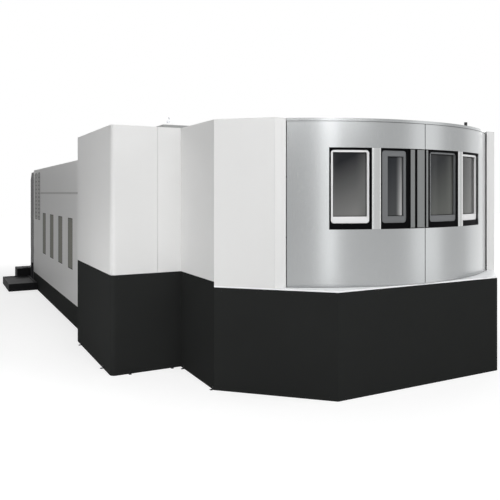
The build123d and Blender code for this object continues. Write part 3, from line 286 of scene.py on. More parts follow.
# %% Tone drift: a paint colour that is a little lighter or darker from place to place
group, inputs, result = new_group(
    "tone_drift",
    {"Colour": ("Color", (0.8, 0.8, 0.8, 1)), "Amount": ("Float", 0.03), "Size": ("Float", 0.8)},
    {"Colour": "Color", "Drift": "Float"})
cloud = noise(group, object_place(group), inputs["Size"], 3.0)
swing = math(group, "SUBTRACT", cloud, 0.5)
gain = math(group, "ADD", math(group, "MULTIPLY", swing, inputs["Amount"]), 1.0)
drifted = add_node(group, "VectorMath", {0: inputs["Colour"], "Scale": gain}, operation="SCALE").outputs[0]
feed(group, result, {"Colour": drifted, "Drift": cloud})

# %% Streaks: fine lines that run one way over metal
group, inputs, result = new_group(
    "streaks", {"Direction": ("Vector", (1, 1, 0)), "Width": ("Float", 0.003)}, {"Streak": "Float"})
squeeze = {0: object_place(group), 1: inputs["Direction"]}
squeezed = add_node(group, "VectorMath", squeeze, operation="MULTIPLY").outputs[0]
feed(group, result, {"Streak": noise(group, squeezed, inputs["Width"], 2.0)})
print("groups:", [g.name for g in bpy.data.node_groups])

# %% [markdown]
# ## Painted sheet metal
#
# Covers, skirts, hood, cabinet and tanks are powder-coated steel. They differ in colour and gloss only,
# so one function makes them all: the drifting tone feeds the colour, the same drift moves the roughness a
# little, and the orange peel bends the normal. Dark satin paint would look grey under a white sky with
# the usual amount of gloss, so it gets less.

# %% Define the painted finish
def new_material(name):
    """A material with its tree and its shader."""
    material = bpy.data.materials.new(name)
    material.use_nodes = True
    return material, material.node_tree, material.node_tree.nodes["Principled BSDF"]


def drifting(tree, colour, amount, size):
    """A tone drift in a tree: its colour and its drift."""
    return use_group(tree, "tone_drift", {"Colour": (*colour, 1), "Amount": amount, "Size": size})


def paint(name, colour, roughness, gloss=0.5, drift=0.03, drift_size=0.8, peel=0.15, peel_size=0.004):
    """Powder coat on sheet metal."""
    material, tree, shader = new_material(name)
    tone = drifting(tree, colour, drift, drift_size)
    rough = remap(tree, tone["Drift"], (0.0, 1.0), (roughness - 0.05, roughness + 0.05))
    height = use_group(tree, "orange_peel", {"Size": peel_size})["Height"]
    bump = add_node(tree, "Bump", {"Height": height, "Strength": peel, "Distance": 0.0003}).outputs[0]
    feed(tree, shader, {"Base Color": tone["Colour"], "Roughness": rough, "Normal": bump,
                        "Specular IOR Level": gloss})
    return material


finishes = {
    "cover_white": paint("cover_white", (0.77, 0.77, 0.765), 0.5, gloss=0.08),
    "skirt_black": paint("skirt_black", (0.022, 0.023, 0.0225), 0.6, gloss=0.003, drift=0.15),
    "frame_black": paint("frame_black", (0.0035, 0.0035, 0.004), 0.45, gloss=0.012, drift=0.2),
    "trim_light": paint("trim_light", (0.78, 0.78, 0.785), 0.35, gloss=0.3, drift_size=0.3),
    "hood_grey": paint("hood_grey", (0.39, 0.395, 0.395), 0.45, gloss=0.15),
    "grille_dark": paint("grille_dark", (0.3, 0.3, 0.297), 0.5, gloss=0.08, drift=0.1),
    "cabinet_dark": paint("cabinet_dark", (0.05, 0.05, 0.054), 0.45, gloss=0.04, drift=0.15),
    "tank_black": paint("tank_black", (0.02, 0.02, 0.021), 0.55, gloss=0.015, drift=0.2),
    "rack_steel": paint("rack_steel", (0.22, 0.23, 0.24), 0.5, drift=0.06),
    "panel_grey": paint("panel_grey", (0.16, 0.165, 0.17), 0.45, drift=0.06, drift_size=0.3),
}
print("painted finishes:", sorted(finishes))

# %% [markdown]
# ## Metal
#
# The curved doors are silver metal with a satin coat and a faint upright grain. Rails, shafts and tool
# holders are ground steel with finer lines. Both are metallic shaders: the colour is the colour of the
# reflection, and the streaks move the roughness, so the highlight breaks up along the grain.

# %% Define the metal finishes
def metal(name, colour, roughness, direction, width, spread=0.06, bump=0.1):
    """Streaked metal; direction squeezes the streaks, with 0 along them."""
    material, tree, shader = new_material(name)
    streak = use_group(tree, "streaks", {"Direction": direction, "Width": width})["Streak"]
    tone = drifting(tree, colour, 0.04, 0.6)
    rough = remap(tree, streak, (0.3, 0.7), (roughness - spread, roughness + spread))
    normal = add_node(tree, "Bump", {"Height": streak, "Strength": bump, "Distance": 0.0002}).outputs[0]
    feed(tree, shader, {"Base Color": tone["Colour"], "Roughness": rough, "Normal": normal,
                        "Metallic": 1.0})
    return material


upright_grain, level_grain = (1, 1, 0.02), (0.05, 1, 1)
finishes["door_silver"] = metal("door_silver", (0.338, 0.347, 0.35), 0.26, upright_grain, 0.002,
                                spread=0.015, bump=0.03)
finishes["ground_steel"] = metal("ground_steel", (0.55, 0.55, 0.54), 0.3, level_grain, 0.003,
                                 spread=0.03, bump=0.03)
finishes["grip_aluminium"] = metal("grip_aluminium", (0.155, 0.16, 0.16), 0.4, upright_grain, 0.004)
print("metal finishes:", [m.name for m in bpy.data.materials if "steel" in m.name or "silver" in m.name])

# %% [markdown]
# ## Cast iron, plastic and glass
#
# Castings keep a coarse skin under their paint. The lamp and the emergency stop are plastic. The door
# windows are smoked glass with painted shade: nearly black at the top, which stands in for the dark
# ceiling of the work space behind them, and greyer further down.

# %% Define castings, plastic and glass
finishes["casting_grey"] = paint("casting_grey", (0.22, 0.24, 0.25), 0.55, drift=0.08, drift_size=0.3,
                                 peel=0.6, peel_size=0.012)
finishes["lamp_black"] = paint("lamp_black", (0.01, 0.01, 0.011), 0.5, gloss=0.3, drift_size=0.02)
finishes["button_red"] = paint("button_red", (0.55, 0.012, 0.012), 0.25, drift_size=0.02)

# The colour runs from grey at the foot to nearly black at the top: painted light and shade of the inside
# behind the glass.
finishes["smoked_glass"], tree, shader = new_material("smoked_glass")
pane_low, pane_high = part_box("door_left_panes")
height = add_node(tree, "SeparateXYZ", {0: object_place(tree)}).outputs["Z"]
share = remap(tree, height, (pane_low.z, pane_high.z), smooth=True)
painted_shading = mix_colours(tree, share, (0.2, 0.2, 0.195, 1), (0.012, 0.013, 0.015, 1))
feed(tree, shader, {"Base Color": painted_shading, "Roughness": 0.12, "IOR": 1.25, "Transmission Weight": 0.2})
print("finishes:", len(finishes))

# %% [markdown]
# ## Put the finishes on
#
# Every panel already knows its material slot from the record, so a short loop gives each its finish.

# %% Assign the finishes
def cover_node(name, material):
    """Give a node one finish all over."""
    for slot in nodes[name].material_slots:
        slot.material = material


for part in frame["record"]["subparts"]:
    if not nodes[part["node"]].material_slots:
        nodes[part["node"]].data.materials.append(None)
    cover_node(part["node"], finishes[part["material_slot"]])
print("finished nodes:", len(nodes))

# %% [markdown]
# ## Sheet edges
#
# A folded sheet has no knife edges: each fold has a bend radius of a few millimetres, and it is this
# radius that draws the thin light lines between the covers. A bevel modifier makes it. The welded mesh
# comes first, because the frame's faces arrive unconnected, and hardened normals keep the large faces
# flat in the light.

# %% Soften the folds of the covers
def bevel(thing, name, width, sharp_from):
    """Round the edges that are sharper than an angle in degrees."""
    rounding = thing.modifiers.new(name, "BEVEL")
    rounding.width = width
    rounding.segments = 2
    rounding.limit_method = "ANGLE"
    rounding.angle_limit = radians(sharp_from)
    rounding.harden_normals = True


folded_sheets = ["covers_left", "cover_corner_left", "cover_corner_right", "cover_right", "wall_back",
                 "cabinet_door_left", "cabinet_door_right", "coolant_tank", "drip_tray", "entry_door",
                 "partition_left", "partition_right", "control_panel"]
for name in folded_sheets:
    weld = nodes[name].modifiers.new("weld", "WELD")
    weld.merge_threshold = 0.00002
    bevel(nodes[name], "bend_radius", 0.003, 30)
print("softened:", len(folded_sheets))

# %% [markdown]
# ## Windows of the curved doors
#
# Each leaf has two windows. The outer ones wear white frames, the ones beside the seam grey frames, and
# the shell's cut edge, where it turns into the recess, gets a much brighter copy of the door's metal: a
# painted highlight for the light that these faces catch. The frames are already modelled, so this is a
# matter of giving faces a second finish: a face is found by where it lies round the doors' axis, and its
# material index is changed.

# %% Find angles on the doors
def door_place(point):
    """A point's angle in degrees, distance from the doors' axis and height."""
    x, y = point.x - middle_x, arc_y - point.y
    return degrees(atan2(x, y)), (x * x + y * y) ** 0.5, point.z


def refinish(node, material, chosen):
    """Give a finish to the faces of a node for which chosen(place, normal) is true, and count them."""
    node.data.materials.append(material)
    faces = [face for face in node.data.polygons if chosen(door_place(face.center), face.normal)]
    for face in faces:
        face.material_index = len(node.data.materials) - 1
    return len(faces)


pillar_angle = 13.75
window_low, window_high = (corner.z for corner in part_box("door_left_frames"))
trim_grey = paint("trim_grey", (0.15, 0.155, 0.16), 0.4, gloss=0.2, drift_size=0.3)
# A much brighter copy of the door's metal for the cut edges of the windows: painted highlight.
edge_painted_highlight = metal("edge_painted_highlight", (0.86, 0.87, 0.875), 0.3, upright_grain, 0.004, spread=0.02, bump=0.02)


def is_inner_window(place, normal):
    """Faces of the frames beside the seam."""
    return abs(place[0]) < pillar_angle


def is_cut_edge(place, normal):
    """Faces of a shell that look along the curve, beside the windows."""
    angle, radius, height = place
    sideways = abs(normal.x * cos(radians(angle)) + normal.y * sin(radians(angle)))
    return window_low < height < window_high and sideways > 0.9 and radius > door_radius - 0.03


for side in ("left", "right"):
    grey = refinish(nodes[f"door_{side}_trims"], trim_grey, is_inner_window)
    bright = refinish(nodes[f"door_{side}"], edge_painted_highlight, is_cut_edge)
    print(side, "leaf: grey frame faces", grey, "bright edge faces", bright)

# %% [markdown]
# ## Panes
#
# The panes carry painted light and shade: the dark ceiling of the work space, which shows through smoked
# glass at the top, and the lighter table lower down are painted into their colour, so each pane runs from
# nearly black to grey, a little askew. A node group works out this painted shading from the angle round
# the doors' axis and the height. Each pane gets its own colours, and one pane also has a painted
# reflection: the pale upright band of a lit wall beside its edge.

# %% Painted shading of a pane: dark at the top, lighter at the bottom and towards one side, with a painted reflection by one edge
group, inputs, result = new_group(
    "pane_painted_light",
    {"Low": ("Color", (0.2, 0.2, 0.2, 1)), "High": ("Color", (0.01, 0.01, 0.01, 1)),
     "Painted reflection": ("Color", (0.3, 0.3, 0.3, 1)), "Start": ("Float", 0.0), "End": ("Float", 10.0),
     "Bottom": ("Float", 0.0), "Top": ("Float", 1.0)},
    {"Tint": "Color"})
spot = add_node(group, "SeparateXYZ", {0: object_place(group)}).outputs
ahead = math(group, "SUBTRACT", arc_y, spot["Y"])
aside = math(group, "SUBTRACT", spot["X"], middle_x)
angle = math(group, "DEGREES", math(group, "ARCTAN2", aside, ahead))
across = remap(group, angle, (inputs["Start"], inputs["End"]))
rise = remap(group, spot["Z"], (inputs["Bottom"], inputs["Top"]))
slant = math(group, "SUBTRACT", math(group, "MULTIPLY", rise, 1.15), math(group, "MULTIPLY", across, 0.3))
share = math(group, "ADD", slant, 0.1, clamp=True)
painted_shading = mix_colours(group, share, inputs["Low"], inputs["High"])
# The painted reflection lies along the pane's far edge and fades towards the top.
near_edge = remap(group, across, (0.62, 1.0), smooth=True)
lower = math(group, "SUBTRACT", 1.0, math(group, "MULTIPLY", rise, 0.75))
with_painted_reflection = mix_colours(group, math(group, "MULTIPLY", near_edge, lower), painted_shading, inputs["Painted reflection"])
feed(group, result, {"Tint": with_painted_reflection})
print("pane tint ready")


# %% Make the panes' glass
def solids_of(node):
    """The corners of each separate solid of a node, from left to right."""
    shape = bmesh.new()
    shape.from_mesh(node.data)
    bmesh.ops.remove_doubles(shape, verts=shape.verts, dist=0.00002)
    unseen, solids = set(shape.verts), []
    for seed in shape.verts:
        if seed not in unseen:
            continue
        unseen.remove(seed)
        stack, points = [seed], []
        while stack:
            corner = stack.pop()
            points.append(corner.co.copy())
            others = {edge.other_vert(corner) for edge in corner.link_edges} & unseen
            unseen -= others
            stack.extend(others)
        solids.append(points)
    shape.free()
    return sorted(solids, key=lambda points: min(point.x for point in points))


def span(values):
    """The lowest and the highest of some values."""
    values = list(values)
    return min(values), max(values)


# For each pane: the colour low down and the colour at the top, both painted light and shade of the inside
# behind the glass, and the colour of a painted reflection by its edge.
pane_colours = {
    "far_left": ((0.22, 0.22, 0.215), (0.012, 0.013, 0.016), (0.17, 0.17, 0.165)),
    "seam_left": ((0.07, 0.072, 0.075), (0.018, 0.02, 0.024), (0.85, 0.85, 0.85)),
    "seam_right": ((0.12, 0.125, 0.115), (0.018, 0.02, 0.022), (0.13, 0.135, 0.125)),
    "far_right": ((0.13, 0.135, 0.125), (0.045, 0.045, 0.045), (0.1, 0.1, 0.1)),
}
leaf_windows = {"left": ["far_left", "seam_left"], "right": ["seam_right", "far_right"]}
pane_spans = {}
for side, names in leaf_windows.items():
    node = nodes[f"door_{side}_panes"]
    for name, points in zip(names, solids_of(node)):
        angles, radii, heights = zip(*[door_place(point) for point in points])
        (start, end), (bottom, top) = span(angles), span(heights)
        pane_spans[name] = (start, end, bottom, top, max(radii))
        low, high, glow = pane_colours[name]
        glass, tree, shader = new_material(f"glass_{name}")
        colours = {"Low": (*low, 1), "High": (*high, 1), "Painted reflection": (*glow, 1)}
        edges = {"Start": start, "End": end, "Bottom": bottom, "Top": top}
        painted_shading = use_group(tree, "pane_painted_light", colours | edges)["Tint"]
        feed(tree, shader, {"Base Color": painted_shading, "Roughness": 0.1, "IOR": 1.25, "Transmission Weight": 0.15})
        refinish(node, glass, lambda place, normal: start - 0.1 < place[0] < end + 0.1)
print("panes:", {name: [round(value, 2) for value in values] for name, values in pane_spans.items()})

# %% [markdown]
# ## Windows of the left wall
#
# The four narrow windows of the wall are frosted dark panes. They look a little green beside the white
# paint. They hardly shine, so their roughness is high.

# %% Finish the panes of the wall
pane_dark, tree, shader = new_material("pane_dark")
tone = drifting(tree, (0.21, 0.208, 0.18), 0.12, 0.5)
feed(tree, shader, {"Base Color": tone["Colour"], "Roughness": 0.55, "Specular IOR Level": 0.04})
cover_node("side_windows", pane_dark)
# The sill's white is lighter than the covers' to make up for the little light that reaches it: painted
# light.
cover_node("door_sill", paint("sill_painted_light", (0.93, 0.94, 0.95), 0.4, gloss=0.2, drift_size=0.4))
print("wall panes and sill finished")

# %% [markdown]
# ## Shapes for small parts
#
# Every small part here is a turned body, a plate with round corners, a frame between two such outlines,
# or a bar bent along a path. All of these are outlines that follow each other, so one function, the skin,
# makes their faces. Each shape adds to an open mesh, so one piece can be made of many of them. A plate
# can lie on any surface: a place function turns across, up and out into a point, which lets a frame lie
# flat on a wall or bend with a door.

# %% Define the shapes
up, to_back, to_right = Vector((0, 0, 1)), Vector((0, 1, 0)), Vector((1, 0, 0))
to_front, to_left = -to_back, -to_right
seat = 0.0003  # how far a part lies off its surface, so that no two faces share a plane


def skin(shape, outlines, closed=False):
    """Faces between outlines that follow each other, with a face over each end unless the row is closed."""
    rings = [[shape.verts.new(point) for point in outline] for outline in outlines]
    if closed:
        rings.append(rings[0])
    else:
        shape.faces.new(list(reversed(rings[0])))
        shape.faces.new(rings[-1])
    for lower, upper in zip(rings, rings[1:]):
        for step in range(len(lower)):
            after = (step + 1) % len(lower)
            shape.faces.new((lower[step], lower[after], upper[after], upper[step]))


def circle(radius, count, x=0.0, y=0.0, start=0.0):
    """Points at even distances round a circle; start is in steps."""
    angles = [2 * pi * (start + step) / count for step in range(count)]
    return [(x + radius * cos(angle), y + radius * sin(angle)) for angle in angles]


def turned(shape, spot, axis, profile, sides=16):
    """A turned body; its profile is (radius, height), foot first, and a third entry makes a hexagon."""
    turn = Vector(axis).to_track_quat("Z", "Y")
    outlines = []
    for radius, height, *hexagon in profile:
        outline = []
        for step in range(sides):
            angle = 2 * pi * step / sides
            reach = radius * cos(pi / 6) / cos(angle % (pi / 3) - pi / 6) if hexagon else radius
            outline.append(Vector(spot) + turn @ Vector((reach * cos(angle), reach * sin(angle), height)))
        outlines.append(outline)
    skin(shape, outlines)


def flat_place(origin, across, out):
    """A place function for a flat surface; its second axis is at right angles to across and out."""
    origin, across, out = Vector(origin), across.normalized(), out.normalized()
    rise = out.cross(across)
    return lambda a, b, c: origin + across * a + rise * b + out * c


def door_surface(radius):
    """A place function on the doors: a is the angle in degrees, b the height, c how far it stands out."""
    def place(a, b, c):
        reach = radius + c
        return Vector((middle_x + reach * sin(radians(a)), arc_y - reach * cos(radians(a)), b))
    return place


def rounded(low, high, corner, steps=4, along=1, stretch=1.0):
    """A rectangle's outline with round corners; stretch turns metres into the unit of the first axis."""
    wide = corner * stretch
    x0, y0, x1, y1 = low[0] + wide, low[1] + corner, high[0] - wide, high[1] - corner
    arcs = []
    for x, y, start in ((x1, y1, 0), (x0, y1, 90), (x0, y0, 180), (x1, y0, 270)):
        angles = [radians(start + 90 * step / steps) for step in range(steps + 1)]
        arcs.append([Vector((x + wide * cos(angle), y + corner * sin(angle))) for angle in angles])
    outline = []
    for arc, following in zip(arcs, arcs[1:] + arcs[:1]):
        outline += arc + [arc[-1].lerp(following[0], step / along) for step in range(1, along)]
    return outline


def plate(shape, place, outline, low, high):
    """A plate with an outline, between two heights above its surface."""
    skin(shape, [[place(a, b, height) for a, b in outline] for height in (low, high)])


def pad(shape, place, low, high, corner, foot, top, **bends):
    """A rectangular plate with round corners."""
    plate(shape, place, rounded(low, high, corner, **bends), foot, top)


def ring(shape, place, outer, inner, low, high):
    """A frame between two outlines with as many points, between two heights above its surface."""
    loops = ((outer, low), (outer, high), (inner, high), (inner, low))
    skin(shape, [[place(a, b, height) for a, b in outline] for outline, height in loops], closed=True)


def border(shape, place, low, high, rim, corners, foot, top, stretch=1.0, **bends):
    """A rectangular frame, as wide as its rim; corners are the outer and the inner radius."""
    inset = Vector((rim * stretch, rim))
    outer = rounded(low, high, corners[0], stretch=stretch, **bends)
    inner = rounded(Vector(low) + inset, Vector(high) - inset, corners[1], stretch=stretch, **bends)
    ring(shape, place, outer, inner, foot, top)


def bent_bar(shape, points, radius, bend, sides=12, steps=5):
    """A round bar along straight runs, with its corners bent."""
    points = [Vector(point) for point in points]
    path = [points[0]]
    for before, corner, after in zip(points, points[1:], points[2:]):
        start = corner + (before - corner).normalized() * bend
        end = corner + (after - corner).normalized() * bend
        for share in [step / steps for step in range(steps + 1)]:
            path.append(start.lerp(corner, share).lerp(corner.lerp(end, share), share))
    path.append(points[-1])
    turn = (path[1] - path[0]).to_track_quat("Z", "Y")
    outlines = []
    for number, point in enumerate(path):
        ahead = path[min(number + 1, len(path) - 1)] - path[max(number - 1, 0)]
        turn = (turn @ up).rotation_difference(ahead) @ turn
        outlines.append([point + turn @ Vector((x, y, 0)) for x, y in circle(radius, sides)])
    skin(shape, outlines)


def piece(name, body, slot, shape, finish=None, break_edges=0.0):
    """Make an open mesh into an object that rides on a body."""
    sharp_from = 35
    bmesh.ops.recalc_face_normals(shape, faces=shape.faces)
    for face in shape.faces:
        face.smooth = True
    for edge in shape.edges:
        edge.smooth = edge.calc_face_angle(0.0) < radians(sharp_from)
    mesh = bpy.data.meshes.new(name)
    shape.to_mesh(mesh)
    shape.free()
    mesh.materials.append(finish or finishes[slot])
    made = bpy.data.objects.new(name, mesh)
    scene.collection.objects.link(made)
    if break_edges:
        bevel(made, "broken_edges", break_edges, sharp_from)
    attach(made, body)
    print("made", name, "with", len(mesh.polygons), "faces on", body)


def spread(start, end, count):
    """Points at even distances from start to end."""
    return [Vector(start).lerp(Vector(end), number / (count - 1)) for number in range(count)]


print("shapes ready")

# %% [markdown]
# ## Screws
#
# The covers are held by button-head screws with a hexagon socket. The head is a turned body whose inner
# rings are hexagons: with twelve sides, six of the points fall on the hexagon's corners and six on the
# middle of its sides.

# %% Define screws and bolts
screw_sides = 12


def button_screw(shape, spot, axis, radius):
    """A button-head screw with a hexagon socket; the spot is the middle of its seat."""
    tall = socket = radius * 0.55
    profile = [(radius, 0), (radius, tall * 0.3), (radius * 0.72, tall), (socket, tall, "hex"),
               (socket, tall * 0.35, "hex")]
    turned(shape, spot, axis, profile, screw_sides)


def hex_bolt(shape, spot, axis, radius):
    """A hexagon-head bolt on its washer."""
    washer, head = radius * 0.18, radius * 0.75
    profile = [(radius * 1.3, 0), (radius * 1.3, washer), (radius, washer, "hex"),
               (radius, head * 0.9, "hex"), (radius * 0.9, head, "hex")]
    turned(shape, spot, axis, profile, screw_sides)


def cap_screw(shape, spot, axis, radius):
    """A socket cap screw, tall and knurled on real machines, with a broken edge here."""
    tall, socket = radius * 1.2, radius * 0.55
    profile = [(radius, 0), (radius, radius * 1.1), (radius * 0.9, tall), (socket, tall, "hex"),
               (socket, radius * 0.6, "hex")]
    turned(shape, spot, axis, profile, screw_sides)


def drive(shape, spots, axis, radius, screw=button_screw):
    """Set a screw on every spot."""
    for spot in spots:
        screw(shape, spot, axis, radius)


print("screws ready")

# %% [markdown]
# ## Rubber, zinc and coloured plastic
#
# A few small parts need finishes of their own: black rubber for seals, zinc-plated steel for screws,
# light and coloured plastic for keys. Rubber is matt and nearly black, zinc is a bluish metal that is
# cloudy at small scale.

# %% Make the small finishes
rubber = paint("rubber", (0.012, 0.012, 0.012), 0.75, gloss=0.05, drift=0.2, drift_size=0.1)
grey_rubber = paint("grey_rubber", (0.4, 0.4, 0.4), 0.75, gloss=0.1, drift=0.1, drift_size=0.1)
zinc = metal("zinc", (0.6, 0.61, 0.63), 0.35, (1, 1, 1), 0.006, spread=0.08, bump=0.05)
black_screw = paint("black_screw", (0.02, 0.02, 0.021), 0.45, gloss=0.1, drift=0.2, drift_size=0.05)
key_light = paint("key_light", (0.55, 0.56, 0.56), 0.5, drift_size=0.02)
key_green = paint("key_green", (0.03, 0.28, 0.09), 0.4, drift_size=0.02)
key_red = paint("key_red", (0.5, 0.02, 0.02), 0.4, drift_size=0.02)
collar_yellow = paint("collar_yellow", (0.75, 0.5, 0.02), 0.4, drift_size=0.05)
screen_glass, tree, shader = new_material("screen_glass")
tone = drifting(tree, (0.012, 0.014, 0.018), 0.3, 0.1)
feed(tree, shader, {"Base Color": tone["Colour"], "Roughness": 0.12, "IOR": 1.3})
print("small finishes ready")

# %% [markdown]
# ## Seals of the door windows
#
# A thin black seal lies in the corner between each light frame and its pane. Its outline is the opening
# of the frame, which is found by looking from the middle of the pane towards the four sides, and the seal
# then bends with the door because its place function does.

# %% Lay the seals
def frame_opening(tree, start, end, bottom, top, radius):
    """The low and the high corner of the opening round a pane, each as an angle and a height."""
    middle = door_surface(radius)((start + end) / 2, (bottom + top) / 2, 0)
    turn = radians((start + end) / 2)
    aside = Vector((cos(turn), sin(turn), 0))
    angles = [door_place(tree.ray_cast(middle, way)[0])[0] for way in (-aside, aside)]
    heights = [tree.ray_cast(middle, way)[0].z for way in (-up, up)]
    return zip(angles, heights)


degrees_per_metre = degrees(1 / door_radius)
for side, names in leaf_windows.items():
    shape, frames = bmesh.new(), bmesh.new()
    frames.from_mesh(nodes[f"door_{side}_trims"].data)
    tree = BVHTree.FromBMesh(frames)
    frames.free()
    for name in names:
        *window, pane_radius = pane_spans[name]
        low, high = frame_opening(tree, *window, pane_radius + 0.002)
        border(shape, door_surface(pane_radius), low, high, rim=0.009, corners=(0.012, 0.006), foot=seat,
               top=0.006, along=8, stretch=degrees_per_metre)
    piece(f"door_{side}_seals", f"door_{side}", "frame_black", shape, rubber)

# %% [markdown]
# ## Pillar strips
#
# Between the two windows of each leaf a convex strip covers the pillar. Because it bulges, it gathers the
# light of a wide angle: its left side catches the lamp that the flat door beside it misses, so it looks
# half bright and half grey. Its section is an arc over a flat foot, pushed upright along the window's
# height.

# %% Cover the pillars
strip_silver = metal("strip_silver", (0.47, 0.475, 0.475), 0.22, upright_grain, 0.003, spread=0.02,
                     bump=0.02)
bulge, arc_steps, strip_end, strip_seat, side_gap = 0.01, 12, 0.004, 0.0004, 0.02
door_skin = door_surface(door_radius)
leaf_signs = (("left", -1), ("right", 1))
for side, sign in leaf_signs:
    angles = [door_place(vertex.co)[0] for vertex in nodes[f"door_{side}_frames"].data.vertices]
    low_angle = max(angle for angle in angles if angle < sign * pillar_angle)
    high_angle = min(angle for angle in angles if angle > sign * pillar_angle)
    half, middle = (high_angle - low_angle) / 2 - side_gap, (high_angle + low_angle) / 2
    turns = [pi * step / arc_steps for step in range(arc_steps + 1)]
    section = [(middle + half * cos(turn), strip_seat + bulge * sin(turn)) for turn in turns]
    shape = bmesh.new()
    bottom, top = window_low + strip_end, window_high - strip_end
    plate(shape, lambda a, b, c: door_skin(a, c, b), section, bottom, top)
    piece(f"pillar_strip_{side}", f"door_{side}", "door_silver", shape, strip_silver)

# %% [markdown]
# ## Lips along the doors' seam
#
# Where the leaves meet, each carries a rubber lip in the gap, and coolant that hits the seam runs down
# between them. Seen from outside they make the dark line between the leaves. Each lip is one long plate
# that stands back from the silver face.

# %% Fit the seam lips
seam_gap, lip_depth, lip_thick, lip_end = door_place(right_door_low)[0], 0.05, 0.03, 0.02
lip_low, lip_high = right_door_low.z + lip_end, right_door_high.z - lip_end
lip_surface = door_surface(door_radius - lip_depth)
for side, sign in leaf_signs:
    low_angle, high_angle = sorted((sign * seam_gap * 0.25, sign * seam_gap))
    shape = bmesh.new()
    pad(shape, lip_surface, (low_angle, lip_low), (high_angle, lip_high), corner=0.001, foot=0.0,
        top=lip_thick, along=6, stretch=degrees_per_metre)
    piece(f"seam_lip_{side}", f"door_{side}", "trim_light", shape, grey_rubber)

# %% [markdown]
# ## Screws of the skirts
#
# The black skirts come off for cleaning, so each panel has a row of screws along its top edge and its
# foot. Black heads on black paint hardly show from a distance, but up close they tell the size of the
# machine. A function walks along a wall between two corners of the plan and sets the heads at even
# distances.

# %% Drive the skirt screws
screw_inset, screw_drop, screw_pitch, screw_radius = 0.12, 0.05, 0.55, 0.008
wing_low, wing_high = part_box("covers_left")
wing_face_y, corner_y, front_half = front_y + 2.582, front_y + 1.24, 1.58
skirt_plan = [Vector((x, y, 0)) for x, y in (
    (wing_low.x, wing_high.y), (wing_low.x, wing_face_y), (skirt_low.x, wing_face_y),
    (skirt_low.x, corner_y), (middle_x - front_half, front_y), (middle_x + front_half, front_y),
    (skirt_high.x, corner_y))]
wing_back, wing_corner, wing_inner, left_corner, front_left, front_right = skirt_plan[:6]


def wall_spots(start, end, height):
    """Even spots along a wall, and its outward direction; walls run with the machine on their left."""
    run = end - start
    count = max(2, round((run.length - 2 * screw_inset) / screw_pitch) + 1)
    ahead, lift = run.normalized() * screw_inset, up * height
    return spread(start + ahead + lift, end - ahead + lift, count), run.cross(up).normalized()


shape = bmesh.new()
skirt_tops = [wing_low.z] * 3 + [skirt_high.z] * 3
for start, end, top in zip(skirt_plan, skirt_plan[1:], skirt_tops):
    for height in (screw_drop, top - screw_drop):
        drive(shape, *wall_spots(start, end, height), screw_radius)
piece("skirt_screws", "frame", "skirt_black", shape, black_screw)

# %% [markdown]
# ## Floor anchors
#
# At the foot of the side box small brackets hold the skirts to the floor. Each is an angle of thick sheet
# with one bolt into the floor and one into the skirt. The angle is a plate whose outline is an L, pushed
# out sideways, with its edges broken by a bevel.

# %% Bolt the anchors down
long, thick, wide, off = 0.05, 0.006, 0.045, 0.0005
angle_section = [(off, off), (long, off), (long, thick), (thick, thick), (thick, long), (off, long)]
anchor_spots = [(wing_inner + to_left * 0.16, to_front), (wing_inner + to_front * 0.14, to_left),
                (left_corner + to_back * 0.03, to_left), (wing_corner + to_right * 0.3, to_front),
                (wing_corner + to_back * 0.5, to_left), (wing_back + to_front * 0.4, to_left)]
angles, bolts = bmesh.new(), bmesh.new()
for foot, out in anchor_spots:
    across = out.cross(up)
    plate(angles, flat_place(foot - across * wide / 2, out, across), angle_section, 0.0, wide)
    hex_bolt(bolts, foot + out * long * 0.6 + up * thick, up, radius=0.011)
    hex_bolt(bolts, foot + out * thick + up * long * 0.6, out, radius=0.009)
piece("anchor_angles", "frame", "skirt_black", angles, black_screw, break_edges=0.001)
piece("anchor_bolts", "frame", "skirt_black", bolts, black_screw)

# %% [markdown]
# ## Seals of the wall windows
#
# Each narrow window of the left wall is glued into its opening from inside. A rubber profile with round
# corners covers the cut edge. It is the same frame shape as on the doors, laid on a flat place.

# %% Lay the wall seals
wall_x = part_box("wall_left")[0].x
place = flat_place((wall_x, 0, 0), to_front, to_left)
shape = bmesh.new()
lap = 0.014
for points in solids_of(nodes["side_windows"]):
    y0, y1 = span(point.y for point in points)
    z0, z1 = span(point.z for point in points)
    border(shape, place, (lap - y1, z0 + lap), (-y0 - lap, z1 - lap), rim=0.015, corners=(0.004, 0.003),
           foot=-0.002, top=0.0)
piece("wall_window_seals", "frame", "frame_black", shape, rubber)

# %% [markdown]
# ## Roof
#
# The roofs are built of sheets about a metre and a half wide. Cover strips hide the joints, screws hold
# them, and four eye bolts on each roof lift the enclosure off. An eye bolt is a turned collar with a bent
# bar for its eye.

# %% Build the roof parts
def cover_strip(strips, screws, start, end, out, width, thick, inset, count, radius):
    """A flat strip along a surface, with its middle raised a little and a row of screws along it."""
    run = Vector(end) - Vector(start)
    place, length = flat_place(start, run, out), run.length
    half, margin, raised = width / 2, width * 0.3, thick * 1.6
    pad(strips, place, (0, -half), (length, half), width * 0.2, 0.0, thick, steps=2)
    pad(strips, place, (margin, -half / 2), (length - margin, half / 2), width * 0.1, thick, raised, steps=2)
    first, last = place(inset, 0, raised), place(length - inset, 0, raised)
    drive(screws, spread(first, last, count), out, radius)


def eye_bolt(shape, spot, radius):
    """A lifting eye."""
    turned(shape, spot, up, [(radius, 0), (radius, radius * 0.5), (radius * 0.6, radius * 0.8)])
    outlines = []
    for x, z in circle(1.0, 16):
        out = Vector((x, 0, z))
        centre = Vector(spot) + up * radius * 1.6 + out * radius * 0.85
        outlines.append([centre + out * a + to_back * b for a, b in circle(radius * 0.28, 8)])
    skin(shape, outlines, closed=True)


